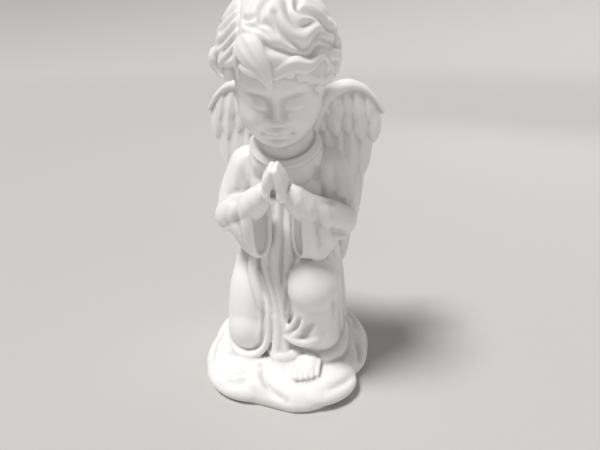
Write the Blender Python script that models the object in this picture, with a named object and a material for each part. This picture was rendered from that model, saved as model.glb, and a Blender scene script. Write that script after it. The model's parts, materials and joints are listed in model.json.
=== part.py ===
"""Kneeling angel figurine: a praying winged child on a low rounded ground, printed in one piece.

Run with: blender --background --python part.py
Metres, +Z up. The figure faces -Y, and its own right side is at -X. The origin is on the underside,
at the middle of the bounding box.
"""

import math

import bmesh
import bpy
import numpy as np
from mathutils import Euler, Matrix, Vector
from mathutils.bvhtree import BVHTree

# Driving sizes, in metres
FIGURE_HEIGHT = 0.166
BASE_WIDTH = 0.084
BASE_DEPTH = 0.088
BASE_HEIGHT = 0.012

# The forms below are shaped in clay: one clay unit is a millimetre at the height of 166 mm.
CLAY_UNITS_TALL = 166.0
CLAY = FIGURE_HEIGHT / CLAY_UNITS_TALL

# How finely the clay is fused, in clay units, and how many faces the finished solid keeps
SOFT_GRAIN = 1.5
FINE_GRAIN = 0.8
CLOTH_SMOOTHING = 3
SOLID_TRIANGLES = 9400

# Pose of the head: its centre in clay, and how far it bows and turns, in degrees
HEAD_CENTRE = (-1.5, -12.0, 137.0)
HEAD_BOW = 28.0
HEAD_TURN = 7.0


def smooth_path(points, samples):
    """Points evenly read from a Catmull-Rom curve through the rows of a small list."""
    keys = np.array(points, float)
    keys = np.vstack([2 * keys[0] - keys[1], keys, 2 * keys[-1] - keys[-2]])
    places = np.linspace(0, len(keys) - 3 - 1e-9, samples)
    before = places.astype(int)
    t = (places - before)[:, None]
    a, b, c, d = (keys[before + shift] for shift in range(4))
    return 0.5 * (2 * b + (c - a) * t + (2 * a - 5 * b + 4 * c - d) * t**2 + (3 * b - a - 3 * c + d) * t**3)


def unit(vectors):
    return vectors / np.maximum(np.linalg.norm(vectors, axis=-1, keepdims=True), 1e-9)


def add_rings(clay, rings):
    """Joins rings of points, each with as many points, into a closed skin with flat ends."""
    rows = [[clay.verts.new(point) for point in ring] for ring in rings]
    for lower, upper in zip(rows, rows[1:]):
        for i in range(len(lower)):
            j = (i + 1) % len(lower)
            clay.faces.new((lower[i], lower[j], upper[j], upper[i]))
    clay.faces.new(rows[0][::-1])
    clay.faces.new(rows[-1])


def add_ball(clay, centre, radii, turn=(0, 0, 0)):
    """An ellipsoid. turn is in degrees about X, Y and Z."""
    rotation = Euler([math.radians(a) for a in turn]).to_matrix().to_4x4()
    matrix = Matrix.Translation(centre) @ rotation @ Matrix.Diagonal((*radii, 1))
    bmesh.ops.create_icosphere(clay, subdivisions=4, radius=1, matrix=matrix)


def add_tube(clay, points, widths, depths=None, across=(1, 0, 0), samples=28, sides=24, round_ends=True):
    """A limb, fold or roll along a curve: widths are half sizes along across, depths the other way."""
    depths = widths if depths is None else depths
    keys = np.column_stack([np.array(points, float), widths, depths])
    path = smooth_path(keys, samples)
    middle, width, depth = path[:, :3], np.maximum(path[:, 3], 0.05), np.maximum(path[:, 4], 0.05)
    along = unit(np.gradient(middle, axis=0))
    side = unit(np.array(across, float) - along * (along @ np.array(across, float))[:, None])
    up = np.cross(along, side)
    turn = np.linspace(0, 2 * math.pi, sides, endpoint=False)

    def shape(i, share, shift):
        ring = side[i] * (width[i] * share * np.cos(turn))[:, None]
        return middle[i] + along[i] * shift + ring + up[i] * (depth[i] * share * np.sin(turn))[:, None]

    caps = [math.radians(a) for a in (80, 60, 40, 20)] if round_ends else []
    rings = [shape(0, math.cos(a), -min(width[0], depth[0]) * math.sin(a)) for a in caps]
    rings += [shape(i, 1, 0) for i in range(samples)]
    rings += [shape(-1, math.cos(a), min(width[-1], depth[-1]) * math.sin(a)) for a in caps[::-1]]
    add_rings(clay, rings)


def object_of(clay, name):
    mesh = bpy.data.meshes.new(name)
    bmesh.ops.recalc_face_normals(clay, faces=clay.faces)
    clay.to_mesh(mesh)
    clay.free()
    made = bpy.data.objects.new(name, mesh)
    bpy.context.scene.collection.objects.link(made)
    return made


def applied(made):
    """Replaces an object's mesh with what its modifiers make of it."""
    graph = bpy.context.evaluated_depsgraph_get()
    mesh = bpy.data.meshes.new_from_object(made.evaluated_get(graph))
    made.modifiers.clear()
    made.data = mesh
    return made


def fused(clay, name, grain, smoothing):
    """All the forms in clay melted into one skin."""
    made = object_of(clay, name)
    melt = made.modifiers.new("Melt", "REMESH")
    melt.mode = "VOXEL"
    melt.voxel_size = grain
    if smoothing:
        soften = made.modifiers.new("Soften", "SMOOTH")
        soften.factor = 0.5
        soften.iterations = smoothing
    return applied(made)


def join_into(clay, made):
    """Adds an object's mesh to the clay and deletes the object."""
    clay.from_mesh(made.data)
    bpy.data.objects.remove(made)


def head_matrix():
    turned = Matrix.Rotation(math.radians(HEAD_TURN), 4, "Z")
    bowed = Matrix.Rotation(math.radians(HEAD_BOW), 4, "X")
    return Matrix.Translation(HEAD_CENTRE) @ turned @ bowed


# Head, in its own space: +Z is the crown, -Y the face, the origin midway between the ears.
# Each level of the head: height, half width, front, middle and back along Y
HEAD_LEVELS = (
    (23.6, 0.8, 2.0, 3.5, 5.0),
    (22.0, 8.5, -5.5, 4.0, 12.0),
    (19.0, 13.5, -11.5, 4.0, 17.0),
    (14.0, 17.0, -17.4, 4.0, 21.5),
    (7.0, 18.4, -21.4, 4.0, 24.5),
    (0.0, 18.2, -22.4, 3.0, 24.8),
    (-6.0, 17.7, -22.0, 1.0, 23.0),
    (-12.0, 17.6, -22.0, -2.0, 18.5),
    (-18.0, 16.2, -21.5, -5.0, 12.0),
    (-22.5, 13.2, -20.8, -8.0, 6.0),
    (-25.8, 9.2, -19.2, -11.0, -1.0),
    (-27.8, 2.0, -15.5, -13.5, -11.5),
)

# Forms of a calm child's face: across, up, spread across, spread up, how far it stands out.
# Those off the middle are made on both sides.
FACE_FORMS = (
    (10.4, -13.2, 6.0, 6.0, 2.9),
    (7.8, -3.2, 4.8, 3.3, -3.2),
    (7.9, -4.6, 3.7, 2.6, 3.0),
    (7.9, -1.7, 4.2, 0.7, -0.5),
    (7.9, -7.0, 3.6, 0.6, -0.9),
    (7.8, 2.2, 5.6, 2.0, 0.8),
    (0.0, -3.0, 2.0, 3.0, 0.8),
    (0.0, -7.4, 2.1, 3.0, 2.4),
    (0.0, -10.6, 2.7, 2.1, 3.6),
    (2.9, -11.5, 1.6, 1.4, 2.0),
    (1.5, -13.1, 0.8, 0.7, -1.2),
    (0.0, -14.6, 1.0, 1.2, -0.6),
    (2.0, -16.5, 2.3, 1.1, 1.7),
    (0.0, -17.8, 3.8, 0.5, -1.0),
    (0.0, -19.2, 2.8, 1.2, 1.9),
    (0.0, -21.6, 3.4, 1.0, -1.0),
    (0.0, -24.2, 4.2, 2.3, 1.8),
    (5.9, -17.7, 1.3, 1.4, -0.8),
)
HEAD_RINGS = 120
HEAD_SIDES = 168
FACE_SQUARENESS = 2.25


def face_relief(across, up):
    """How far the face stands out at each point, in clay units."""
    relief = np.zeros_like(across)
    for x, z, spread_x, spread_z, height in FACE_FORMS:
        for side in (x, -x) if x else (x,):
            relief += height * np.exp(-(((across - side) / spread_x) ** 2) - ((up - z) / spread_z) ** 2)
    return relief


def head_rings():
    turn = np.linspace(0, 2 * math.pi, HEAD_SIDES, endpoint=False)
    power = 2 / FACE_SQUARENESS
    rings = []
    for height, half, front, middle, back in smooth_path(HEAD_LEVELS, HEAD_RINGS):
        x = half * np.sign(np.cos(turn)) * np.abs(np.cos(turn)) ** power
        ahead = np.sin(turn) < 0
        reach = np.where(ahead, middle - front, back - middle)
        y = middle + np.sign(np.sin(turn)) * reach * np.abs(np.sin(turn)) ** power
        facing = np.clip(-np.sin(turn), 0, 1) ** 2
        y -= facing * face_relief(x, np.full_like(x, height))
        rings.append(np.column_stack([x, y, np.full_like(x, height)]))
    return rings


# The scalp that the hair lies on: an ellipsoid in the head's space
SCALP_CENTRE = np.array((0.0, 3.6, 4.6))
SCALP_RADII = np.array((19.8, 23.8, 20.4))


def on_scalp(turn, rise, lift=0.0):
    """A point over the scalp: degrees round from the face towards +X, degrees up, and height over it."""
    a, e = np.radians(turn), np.radians(rise)
    way = np.stack([np.cos(e) * np.sin(a), -np.cos(e) * np.cos(a), np.sin(e)], axis=-1)
    return SCALP_CENTRE + way * (SCALP_RADII + np.asarray(lift, float)[..., None])


def scalp_route(route, samples, lift):
    """A smooth line over the scalp through (turn, rise) pairs, with its way out of the scalp."""
    keys = on_scalp(*np.array(route, float).T)
    line = (smooth_path(keys, samples) - SCALP_CENTRE) / SCALP_RADII
    way = unit(line)
    middle = SCALP_CENTRE + way * (SCALP_RADII + np.asarray(lift, float)[..., None])
    return middle, unit(way / SCALP_RADII)


def add_lock(clay, route, width, thickness, lift=0.6, tip_lift=1.0, strands=2, samples=40, sides=40):
    """One carved lock of hair, from its root to its pointed tip."""
    t = np.linspace(0, 1, samples)
    middle, out = scalp_route(route, samples, lift - 2.6 * (1 - t) ** 4 + tip_lift * t**2)
    side = unit(np.cross(unit(np.gradient(middle, axis=0)), out))
    taper = np.sqrt(np.clip(1.0 - t**2.6, 0.0004, 1))
    half = width * 0.5 * (0.5 + 0.5 * np.sin(math.pi * np.clip(t * 1.2 + 0.05, 0, 1))) * taper
    thick = thickness * (0.55 + 0.45 * np.sin(math.pi * np.clip(t * 1.1, 0, 1))) * taper
    turn = np.linspace(0, 2 * math.pi, sides, endpoint=False)
    across = np.cos(turn)
    strands = 3 if width > 8 else strands
    crest = 1 - 0.17 * (0.5 + 0.5 * np.cos(across * math.pi * strands)) * (np.sin(turn) > 0)
    height = np.sin(turn) * crest
    rings = []
    for i in range(samples):
        skin = side[i] * (half[i] * across)[:, None] + out[i] * (thick[i] * height)[:, None]
        rings.append(middle[i] + skin)
    add_rings(clay, rings)


def add_curl(clay, turn, rise, radius, thickness, spin=1, lift=1.5, start=0.0):
    """A ringlet lying on the scalp: a roll that winds in on itself."""
    centre = on_scalp(turn, rise, lift)
    out = unit((centre - SCALP_CENTRE) / SCALP_RADII**2)
    side = unit(np.cross(np.array((0.0, 0.0, 1.0)), out))
    up = np.cross(out, side)
    t = np.linspace(0, 1, 14)
    angle = math.radians(start) + spin * t * math.radians(500)
    reach = radius * (1 - 0.72 * t)
    points = centre + side * (reach * np.cos(angle))[:, None] + up * (reach * np.sin(angle))[:,
        None] + out * (1.6 * t)[:, None]
    add_tube(clay, points, list(thickness * (1 - 0.35 * t)), across=out, samples=40, sides=14)


# Edge of the cap of hair round the head: degrees round, degrees up
HAIRLINE = (
    (-180, -68), (-145, -64), (-116, -48), (-96, -28), (-80, -14), (-66, -6), (-50, 6), (-38, 14),
        (-25, 13), (-12, 10),
    (0, 11), (12, 15), (24, 13), (36, 3), (47, -8), (58, -22), (76, -32), (104, -46), (145, -64),
        (180, -68),
)
HAIR_DEPTH = 3.4
HAIR_RELIEF = 0.8
HAIR_RINGS = 150
HAIR_SIDES = 300
# Places where the cap swells: degrees round, degrees up, spread in degrees, height
SWELLS = (
    (93, 22, 10, 1.6), (89, 3, 9, 2.4), (80, -13, 8, 2.6), (62, 44, 12, 1.0), (40, 37, 10, 1.0),
    (-85, 20, 10, 1.0), (-80, 5, 8, 1.4), (-10, 62, 16, 0.8),
)
# Lines carved between the waves: the route in degrees (turn, rise), the depth, the half width
HAIR_LINES = (
    (((-120, 64), (-79.5, 57.4), (-63.4, 51.7), (-53.5, 45.2), (-45.9, 37.2), (-42.4, 27.6),
        (-39.3, 16.3)), 1.7, 1.2),
    (((-44, 38.5), (-30, 36.8), (-20, 35.9), (-9.0, 33.8), (1, 31.6), (10, 29.6), (18, 26.5), (26.1, 24.5),
        (34.3, 22.1),
      (42.3, 24.3), (48.4, 25.4), (56.3, 21.8), (65.2, 15.3), (85.7, 1.7)), 1.7, 1.3),
    (((-130, 72), (-80, 66), (-53.7, 51), (-42.2, 49.3), (-32.0, 51.9), (-21.0, 55.2)), 1.0, 1.2),
    (((178, 70), (178, 82), (0, 87), (-12, 76), (-22, 62), (-19.7, 51), (-11.6, 50.3), (-3.4, 48.3),
        (2.8, 44.4), (9.4, 41.9)), 1.4, 1.3),
    (((-46.6, 44.6), (-33.4, 45.3), (-20.8, 45.8), (-10.0, 43.0), (-4.0, 39.5)), 0.8, 1.0),
    (((2, 58), (8, 47), (15.5, 38.4), (21.9, 33.3), (30.3, 27.8), (38.5, 27.8), (45.6, 31.0), (55.4, 33.0),
        (66, 29)), 2.0, 1.4),
    (((150, 80), (60, 82), (30, 70), (24, 58), (29.9, 46.8), (38.3, 44.1), (52.8, 43.2), (65.2, 40.4),
        (72, 33)), 1.7, 1.4),
    (((168, 68), (120, 72), (70, 68), (44, 60), (50.7, 53.6), (60.9, 45.5), (67.3, 36.7), (74.6, 27.2),
        (92.9, 14.1)), 1.9, 1.4),
    (((160, 58), (125, 60), (98, 54), (87.9, 45.8), (85.9, 38.7), (92, 30)), 1.3, 1.3),
    (((48.3, 30.0), (58.7, 26.5), (73.9, 14.4), (90, 4)), 1.5, 1.3),
    (((64, 10), (72, 0), (84, -8), (96, -10)), 1.6, 1.3),
    (((-95, 62), (-66.7, 50.5), (-68.5, 39.6), (-75.4, 27.7), (-87.1, 17.2)), 1.3, 1.2),
    (((-60, 50), (-53.4, 43.4), (-57.5, 33.0), (-67.7, 19.5), (-81.0, 7.4)), 1.4, 1.2),
    (((-50, 42), (-46.5, 36.1), (-50.7, 27.1), (-59.9, 16.2), (-77.4, 1.0)), 1.4, 1.2),
    (((-44, 33), (-42.4, 28.4), (-45.0, 21.7), (-51.0, 13.2), (-61.2, 2)), 1.2, 1.1),
    (((-70, 56), (-80, 44), (-88, 30), (-98, 18), (-104, 4)), 1.2, 1.2),
)
# Locks that lie loose on the cap: the route, the width, the thickness, the lift and tip lift
LOCKS = (
    (((-46, 38), (-38, 34), (-28, 29), (-19, 23), (-11.0, 15.5), (-6.0, 6.6), (-3.6, -3.6)),
        11.5, 2.7, 2.9, 1.0),
    (((-40, 17), (-34.3, 12.4), (-25.5, 11.0), (-15.6, 9.2), (-9.6, 4.6), (-6.2, -3.4)),
        3.8, 2.6, 2.6, 1.2),
    (((-45, 38), (-42, 28), (-39.6, 16.4), (-38.0, 7), (-37.6, -4)), 2.6, 1.8, 3.2, -0.4),
    (((-7, 5), (-2, 8.6), (5, 13.2), (12.6, 16.6), (20, 17.0), (27.3, 14.4), (34.7, 13.4), (43.1, 15.4),
      (51.5, 14.0), (57, 7), (57, -3)), 6.4, 3.2, 2.6, 1.2),
    (((56, 16), (66, 9), (75, 3), (81, -7), (77, -18), (70, -16)), 5.4, 3.0, 3.4, 1.4),
    (((-80, 6), (-82, 1), (-82, -5), (-78, -11), (-72, -15), (-65, -18)), 6.8, 3.4, 5.8, -2.4),
    (((-58, 18), (-64, 8), (-68, -1), (-66, -10), (-58, -13)), 4.8, 2.4, 2.6, 0.8),
    (((9, 15), (15, 9), (20, 10)), 3.6, 2.0, 2.0, 0.4),
    (((20, 14), (26, 5), (33, 4), (33, 9)), 4.2, 2.4, 2.2, 0.4),
    (((32, 12), (36, 0), (43, -3), (46, 3)), 4.4, 2.4, 2.4, 0.4),
    (((44, 9), (47, -5), (53, -10), (58, -4)), 4.6, 2.4, 2.6, 0.4),
    (((50, -6), (50, -17), (56, -22), (61, -15)), 4.6, 2.4, 2.2, 0.4),
    (((57, -17), (57, -27), (63, -33), (69, -26)), 4.8, 2.4, 2.0, 0.4),
    (((66, 0), (66, -12), (72, -22), (79, -18)), 5.0, 2.6, 2.8, 0.6),
    (((-64, 4), (-62, -8), (-68, -18), (-76, -14)), 4.6, 2.4, 2.0, 0.6),
)
RINGLETS = (
    (79, -13, 3.4, 1, 60),
    (60, -11, 2.4, -1, 30),
)


# The crown, where the hair turns: degrees round and up on the scalp
CROWN = (176, 58)


def from_crown(bearing, reach):
    """(turn, rise) of a place so many degrees from the crown; bearing 0 runs straight down the nape."""
    a, e = (math.radians(value) for value in CROWN)
    top = np.array((math.cos(e) * math.sin(a), -math.cos(e) * math.cos(a), math.sin(e)))
    side = unit(np.cross((0, 0, 1), top))
    down = np.cross(side, top)
    down = down if down[2] < 0 else -down
    b, r = math.radians(bearing), math.radians(reach)
    way = top * math.cos(r) + (down * math.cos(b) + side * math.sin(b)) * math.sin(r)
    return math.degrees(math.atan2(way[0], -way[1])), math.degrees(math.asin(np.clip(way[2], -1, 1)))


def crown_lines():
    """Lines that wave down the back and sides of the head from the crown."""
    lines = []
    for k in range(17):
        bearing = -92 + 11.5 * k
        start, depth, width = ((12, 1.9, 1.4), (44, 1.1, 1.1))[k % 2]
        route = []
        for step in range(9):
            t = step / 8
            reach = start + (128 - start) * t
            sway = 9.5 * math.sin(math.radians(3.4 * reach + 60 * math.sin(0.7 * k))) * min(1, reach / 60)
            route.append(from_crown(bearing + sway, reach))
        lines.append((route, depth, width))
    return lines


def hair_lift(turn, rise):
    """How far the cap of hair stands over the scalp, with its waves carved, at each turn and rise."""
    edge = np.interp(turn, *np.array(HAIRLINE, float).T)
    inside = np.clip((rise - edge) / 6 + 0.5, 0, 1)
    lift = -1.6 + (HAIR_DEPTH + 1.6) * np.sqrt(inside)
    ways = (on_scalp(turn, rise) - SCALP_CENTRE) / SCALP_RADII
    for swell_turn, swell_rise, spread, height in SWELLS:
        middle = (on_scalp(swell_turn, swell_rise) - SCALP_CENTRE) / SCALP_RADII
        off = np.linalg.norm(ways - middle, axis=1) / math.radians(spread)
        lift += height * inside * np.exp(-(off**2))
    grooves, crests = np.zeros_like(lift), np.zeros_like(lift)
    for route, depth, width in HAIR_LINES + tuple(crown_lines()):
        line = (scalp_route(route, 48, 0.0)[0] - SCALP_CENTRE) / SCALP_RADII
        gaps = np.linalg.norm(ways[:, None] - line[None], axis=2)
        near = gaps.min(axis=1) * 25
        fade = np.sin(math.pi * np.clip(gaps.argmin(axis=1) / 47, 0.05, 0.95)) ** 0.5
        grooves = np.maximum(grooves, depth * fade * np.exp(-((near / width) ** 2)))
        beside = (near - 2.6 * width) / (1.6 * width)
        crests = np.maximum(crests, 0.4 * depth * fade * np.exp(-(beside**2)))
    return lift + HAIR_RELIEF * (crests * (1 - np.clip(grooves, 0, 1)) - grooves)


def add_hair(clay):
    turn = np.linspace(-180, 180, HAIR_SIDES, endpoint=False)
    rings = []
    for rise in np.linspace(-78, 89.4, HAIR_RINGS):
        lift = hair_lift(turn, np.full(HAIR_SIDES, rise))
        rings.append(on_scalp(turn, np.full(HAIR_SIDES, rise), lift))
    add_rings(clay, rings)
    for route, width, thickness, lift, tip_lift in LOCKS:
        add_lock(clay, route, width, thickness, lift, tip_lift)
    for turn, rise, radius, spin, start in RINGLETS:
        add_curl(clay, turn, rise, radius, radius * 0.46, spin, 2.6, start)


def add_nape(clay):
    """Locks that hang from the back of the bowed head over the nape, made in the clay's own space."""
    add_ball(clay, (-1, 4.5, 124), (15.0, 9.5, 17.0))
    for row, (top, bottom, count) in enumerate(((126, 106.5, 6), (133, 114.0, 7), (141, 122.0, 6))):
        for k in range(count):
            t = k / (count - 1) * 2 - 1
            x = -1 + t * (11.5 + 1.5 * row)
            y = 12.4 + 1.2 * row - 4.2 * t * t
            sway = 1.5 if (k + row) % 2 else -1.5
            middle = (top + bottom) / 2
            points = [(x, y - 2.5, top + 2), (x + sway, y, middle + 4), (x - sway, y + 0.2, middle - 5),
                (x * 0.9, y - 2.2, bottom)]
            add_tube(clay, points, [2.8, 3.0, 2.6, 0.8], [2.4, 2.4, 2.0, 0.8], samples=26, sides=20)


def add_head(clay):
    """Head, face and hair, carved upright and then bowed on the neck."""
    head = bmesh.new()
    add_rings(head, head_rings())
    add_hair(head)
    head.transform(head_matrix())
    join_into(clay, object_of(head, "Head"))
    add_nape(clay)


# Robe and limbs. Heights are over the top of the ground.
def add_body(clay):
    """Trunk, shoulders and thighs under the robe, melted soft before anything crisp is added."""
    body = bmesh.new()
    add_ball(body, (0, 2.5, 84), (20, 15, 19.5))
    add_ball(body, (0, 0.5, 91), (15.5, 14.5, 12.5), (-28, 0, 0))
    add_ball(body, (0, 3.0, 64), (19.5, 16.5, 20))
    add_ball(body, (0, 7.0, 44), (25, 20, 18))
    for side in (-1, 1):
        add_ball(body, (side * 17.8, 3.5, 91.2), (10.6, 10.0, 10.2))
    # Robe behind and under the seat, spreading to the ground
    add_tube(
        body,
        [(0, 4, 92), (0, 5, 74), (-0.5, 8, 50), (-1, 11, 26), (-1.2, 13, 8), (-1.2, 13, 1)],
        [15, 19, 25, 27.5, 29, 29],
        [11, 14, 20, 23, 26.5, 26.5],
        sides=48,
        round_ends=False,
    )
    # Cloth that hangs from the chest between the knees
    add_tube(
        body,
        [(0, -2.6, 88), (0, -4.6, 70), (-0.5, -6, 46), (-1, -6, 24), (-1, -9, 3)],
        [10, 13, 15, 14, 15],
        [9.2, 9.4, 9.4, 9, 9],
    )
    # Raised left leg: thigh, knee, then shin down to the foot
    add_tube(body, [(9, 8, 42), (12.5, -6, 43), (14.6, -16.0, 42.0)], [13, 13, 12.6])
    add_ball(body, (14.6, -17.0, 41.5), (12.8, 12.8, 13.6))
    add_tube(body, [(14.6, -16.0, 40), (15.0, -14.5, 28), (15.3, -10.8, 15),
        (15.5, -3.0, 3)], [12.2, 11.4, 11.4, 11.6])
    # Kneeling right leg: thigh down to the knee, shin back along the ground
    add_tube(body, [(-11, 6, 48), (-15.5, -3, 32), (-17.6, -8.0, 14)], [13.2, 13.4, 12.0])
    add_ball(body, (-17.6, -9.0, 13.0), (11.8, 12.6, 13.6))
    add_tube(body, [(-18, -6.5, 10), (-18, 12, 9), (-15, 32, 7.5)], [11, 11, 8.4])
    add_tube(body, [(0, -0.8, 94), (-0.5, -3.6, 106),
        (-1.2, -7.2, 120)], [13.6, 13.0, 12.0], [13.4, 12.4, 11.6])
    join_into(clay, fused(body, "Body", SOFT_GRAIN, 5))


# Sleeve sections from the elbow to the cuff: across, along Y, height, half depth,
# reach up, and how far the right and the left sleeve reach down
SLEEVE_SECTIONS = (
    (30.2, -4.0, 70.5, 2.5, 3.0, 2.0, 2.5),
    (28.4, -6.0, 70.5, 6.5, 7.0, 4.6, 5.6),
    (25.0, -10.0, 71.0, 8.4, 9.0, 6.0, 9.2),
    (21.0, -14.5, 72.0, 8.8, 9.5, 10.5, 16.0),
    (17.0, -18.5, 74.0, 8.4, 9.8, 16.0, 19.2),
    (12.0, -22.0, 76.5, 7.6, 9.4, 20.8, 20.6),
    (8.4, -24.0, 79.0, 6.8, 9.4, 23.6, 22.4),
)
SLEEVE_WALL = 1.7


# How far each part of the sleeve's mouth lies out from its middle: degrees round from the back
MOUTH_LEAN = ((0, -3.0), (90, 0.4), (180, 2.7), (225, 2.9), (252, 2.2), (270, 1.0), (287, -1.0),
    (305, -2.7), (360, -3.0))


def sleeve_ring(side, row, inset):
    x, y, z, deep, up, right_down, left_down = row
    down = right_down if side < 0 else left_down
    turn = np.linspace(0, 2 * math.pi, 48, endpoint=False)
    tall = np.where(np.sin(turn) > 0, up, down) - inset
    deep = max(deep - inset, 0.4)
    narrow = 1 - 0.22 * np.clip(np.sin(turn), 0, 1) - 0.2 * np.clip(-np.sin(turn), 0, 1) ** 2
    mouth = np.clip((16.5 - x) / 8.1, 0, 1)
    lean = np.array(MOUTH_LEAN, float)
    across = x + mouth * np.interp(np.degrees(turn), lean[:, 0], lean[:, 1])
    forward = y + deep * narrow * np.cos(turn) - mouth * 3.4 * np.sin(turn)
    return np.column_stack([side * across, forward, z + np.maximum(tall, 0.3) * np.sin(turn)])


def add_sleeve(clay, side):
    """One wide sleeve: the upper arm, then a hanging bag of cloth that opens round the wrist."""
    add_tube(clay, [(side * 18.6, 3, 91), (side * 23.4, 1.0, 80), (side * 24.8, -5, 70)], [9.5, 9.0, 8.4])
    path = smooth_path(SLEEVE_SECTIONS, 40)
    outer = [sleeve_ring(side, row, 0) for row in path]
    inner = [sleeve_ring(side, row, SLEEVE_WALL) for row in path[37:]][::-1]
    add_rings(clay, outer + inner)
    # The rolled edge of the mouth, and the end of a fold at the elbow
    rim = (outer[-1] + inner[0]) / 2
    rim = np.vstack([rim[::3], rim[:1]])
    add_tube(clay, rim, [1.2] * len(rim), across=(side, 0, 0), samples=72, sides=12, round_ends=False)
    low = 66.5 if side < 0 else 65.0
    add_tube(
        clay,
        [(side * 21.0, -20.5, low + 4.0), (side * 24.5, -16.5, low + 0.6), (side * 28.0, -12.0, low - 0.4),
            (side * 30, -8.5, low + 2)],
        [0.9, 1.5, 1.5, 0.9],
        samples=24,
        sides=14,
    )


def add_arm(clay, side):
    """Forearm in its cuff, and a hand laid against the other, fingers up."""
    add_tube(
        clay,
        [(side * 25, -9, 71), (side * 17, -19, 77), (side * 11.0, -25, 81.6), (side * 7.6, -28.0, 85.5)],
        [7.6, 7.2, 6.4, 5.4],
    )
    cuff = [(side * 10.6, -25.4, 82.4), (side * 6.9, -28.4, 86.6), (side * 4.0, -29.8, 90.4)]
    add_tube(clay, cuff, [6.2, 5.1, 3.5], samples=20, round_ends=False)
    add_ball(clay, (side * 2.4, -31.0, 89.8), (2.9, 5.4, 4.4), (18, 0, 0))
    add_ball(clay, (side * 1.9, -33.0, 88.4), (2.5, 2.6, 2.6), (18, 0, 0))
    # The flat of the hand and the fingers together, then each finger's own round
    add_tube(clay, [(side * 2.5, -31.6, 90), (side * 1.9, -33.2, 95),
        (side * 0.9, -34.6, 99.6)], [2.7, 2.3, 1.2], [4.4, 4.1, 3.2])
    add_tube(clay, [(0, -32.6, 91), (0, -34.6, 95.5),
        (0, -36.0, 98.6)], [2.6, 2.0, 1.2], [2.6, 2.2, 1.4], sides=16)
    for k in range(4):
        y = -35.2 + 2.5 * k
        length = (0.84, 0.97, 1.0, 0.92)[k]
        wide = (2.9, 3.5, 3.7, 3.5)[k]
        rise = 12.2 * length
        knuckle = (side * wide, y + 0.8, 90.2)
        bend = (side * wide * 0.92, y - 0.4 * length, 89.4 + rise * 0.5)
        tip = (side * 1.0, y - 1.3 * length, 88.8 + rise)
        add_tube(clay, [knuckle, bend, tip], [1.7, 1.65, 1.15], sides=16, samples=14)
    thumb = [(side * 3.6, -26.6, 86), (side * 2.4, -25.4, 90), (side * 1.0, -25.8, 94)]
    add_tube(clay, thumb, [2.0, 1.8, 1.4], sides=16)


def add_feet(clay):
    """The left foot under the hem, toes forward, and the sole of the right foot behind."""
    add_ball(clay, (-15.5, 36.0, 5.6), (6.0, 6.6, 5.6), (14, 0, 0))
    for k in range(5):
        x = -19.6 + 2.3 * k
        size = (1.4, 1.5, 1.6, 1.7, 2.1)[k]
        add_tube(clay, [(x, 36.5, 4.6), (x, 39.8, 3.4),
            (x, 40.2, 1.6)], [size, size, size], sides=14, samples=12)
    add_ball(clay, (12.7, -24.5, 1.4), (6.2, 9.0, 4.5), (6, 0, -4))
    for k in range(5):
        x = 8.3 + 2.35 * k
        y = -33.2 + 0.24 * k * k - 0.2 * k
        size = (1.75, 1.55, 1.45, 1.35, 1.25)[k]
        toe = [(x + 0.2, y + 8, 3.4), (x, y + 3, 2.7), (x, y, 1.5)]
        add_tube(clay, toe, [size, size * 1.05, size], sides=14, samples=14)


# The skirt where it lies on the ground round the raised foot, seen from above
SKIRT_OUTLINE = (
    (-9.6, -15.0), (-4.3, -21.6), (0.0, -22.8), (4.2, -21.8), (8.0, -20.2), (14.5, -20.4), (19.8, -21.0),
    (24.2, -18.0), (28.4, -12.9), (30.8, -5.7), (31.0, 4.5), (29.7, 14.0), (24.0, 24.0), (10.0, 27.0),
    (-8.0, 20.0), (-13.0, 6.0), (-12.5, -6.0),
)
SKIRT_HEIGHT = 6.2


def add_skirt(clay):
    """The flat layer of cloth on the ground, with a rounded edge."""
    outline = smooth_path(SKIRT_OUTLINE + SKIRT_OUTLINE[:1], 97)[:-1]
    middle = np.array((9.0, 2.0))
    rings = []
    for level, share in ((-0.9, 0.94), (0.0, 1.0), (0.45, 1.015), (0.78, 0.985), (0.95, 0.93), (1.0, 0.84),
        (1.0, 0.5)):
        spot = middle + (outline - middle) * share
        rings.append(np.column_stack([spot, np.full(len(spot), level * SKIRT_HEIGHT)]))
    add_rings(clay, rings)


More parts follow.
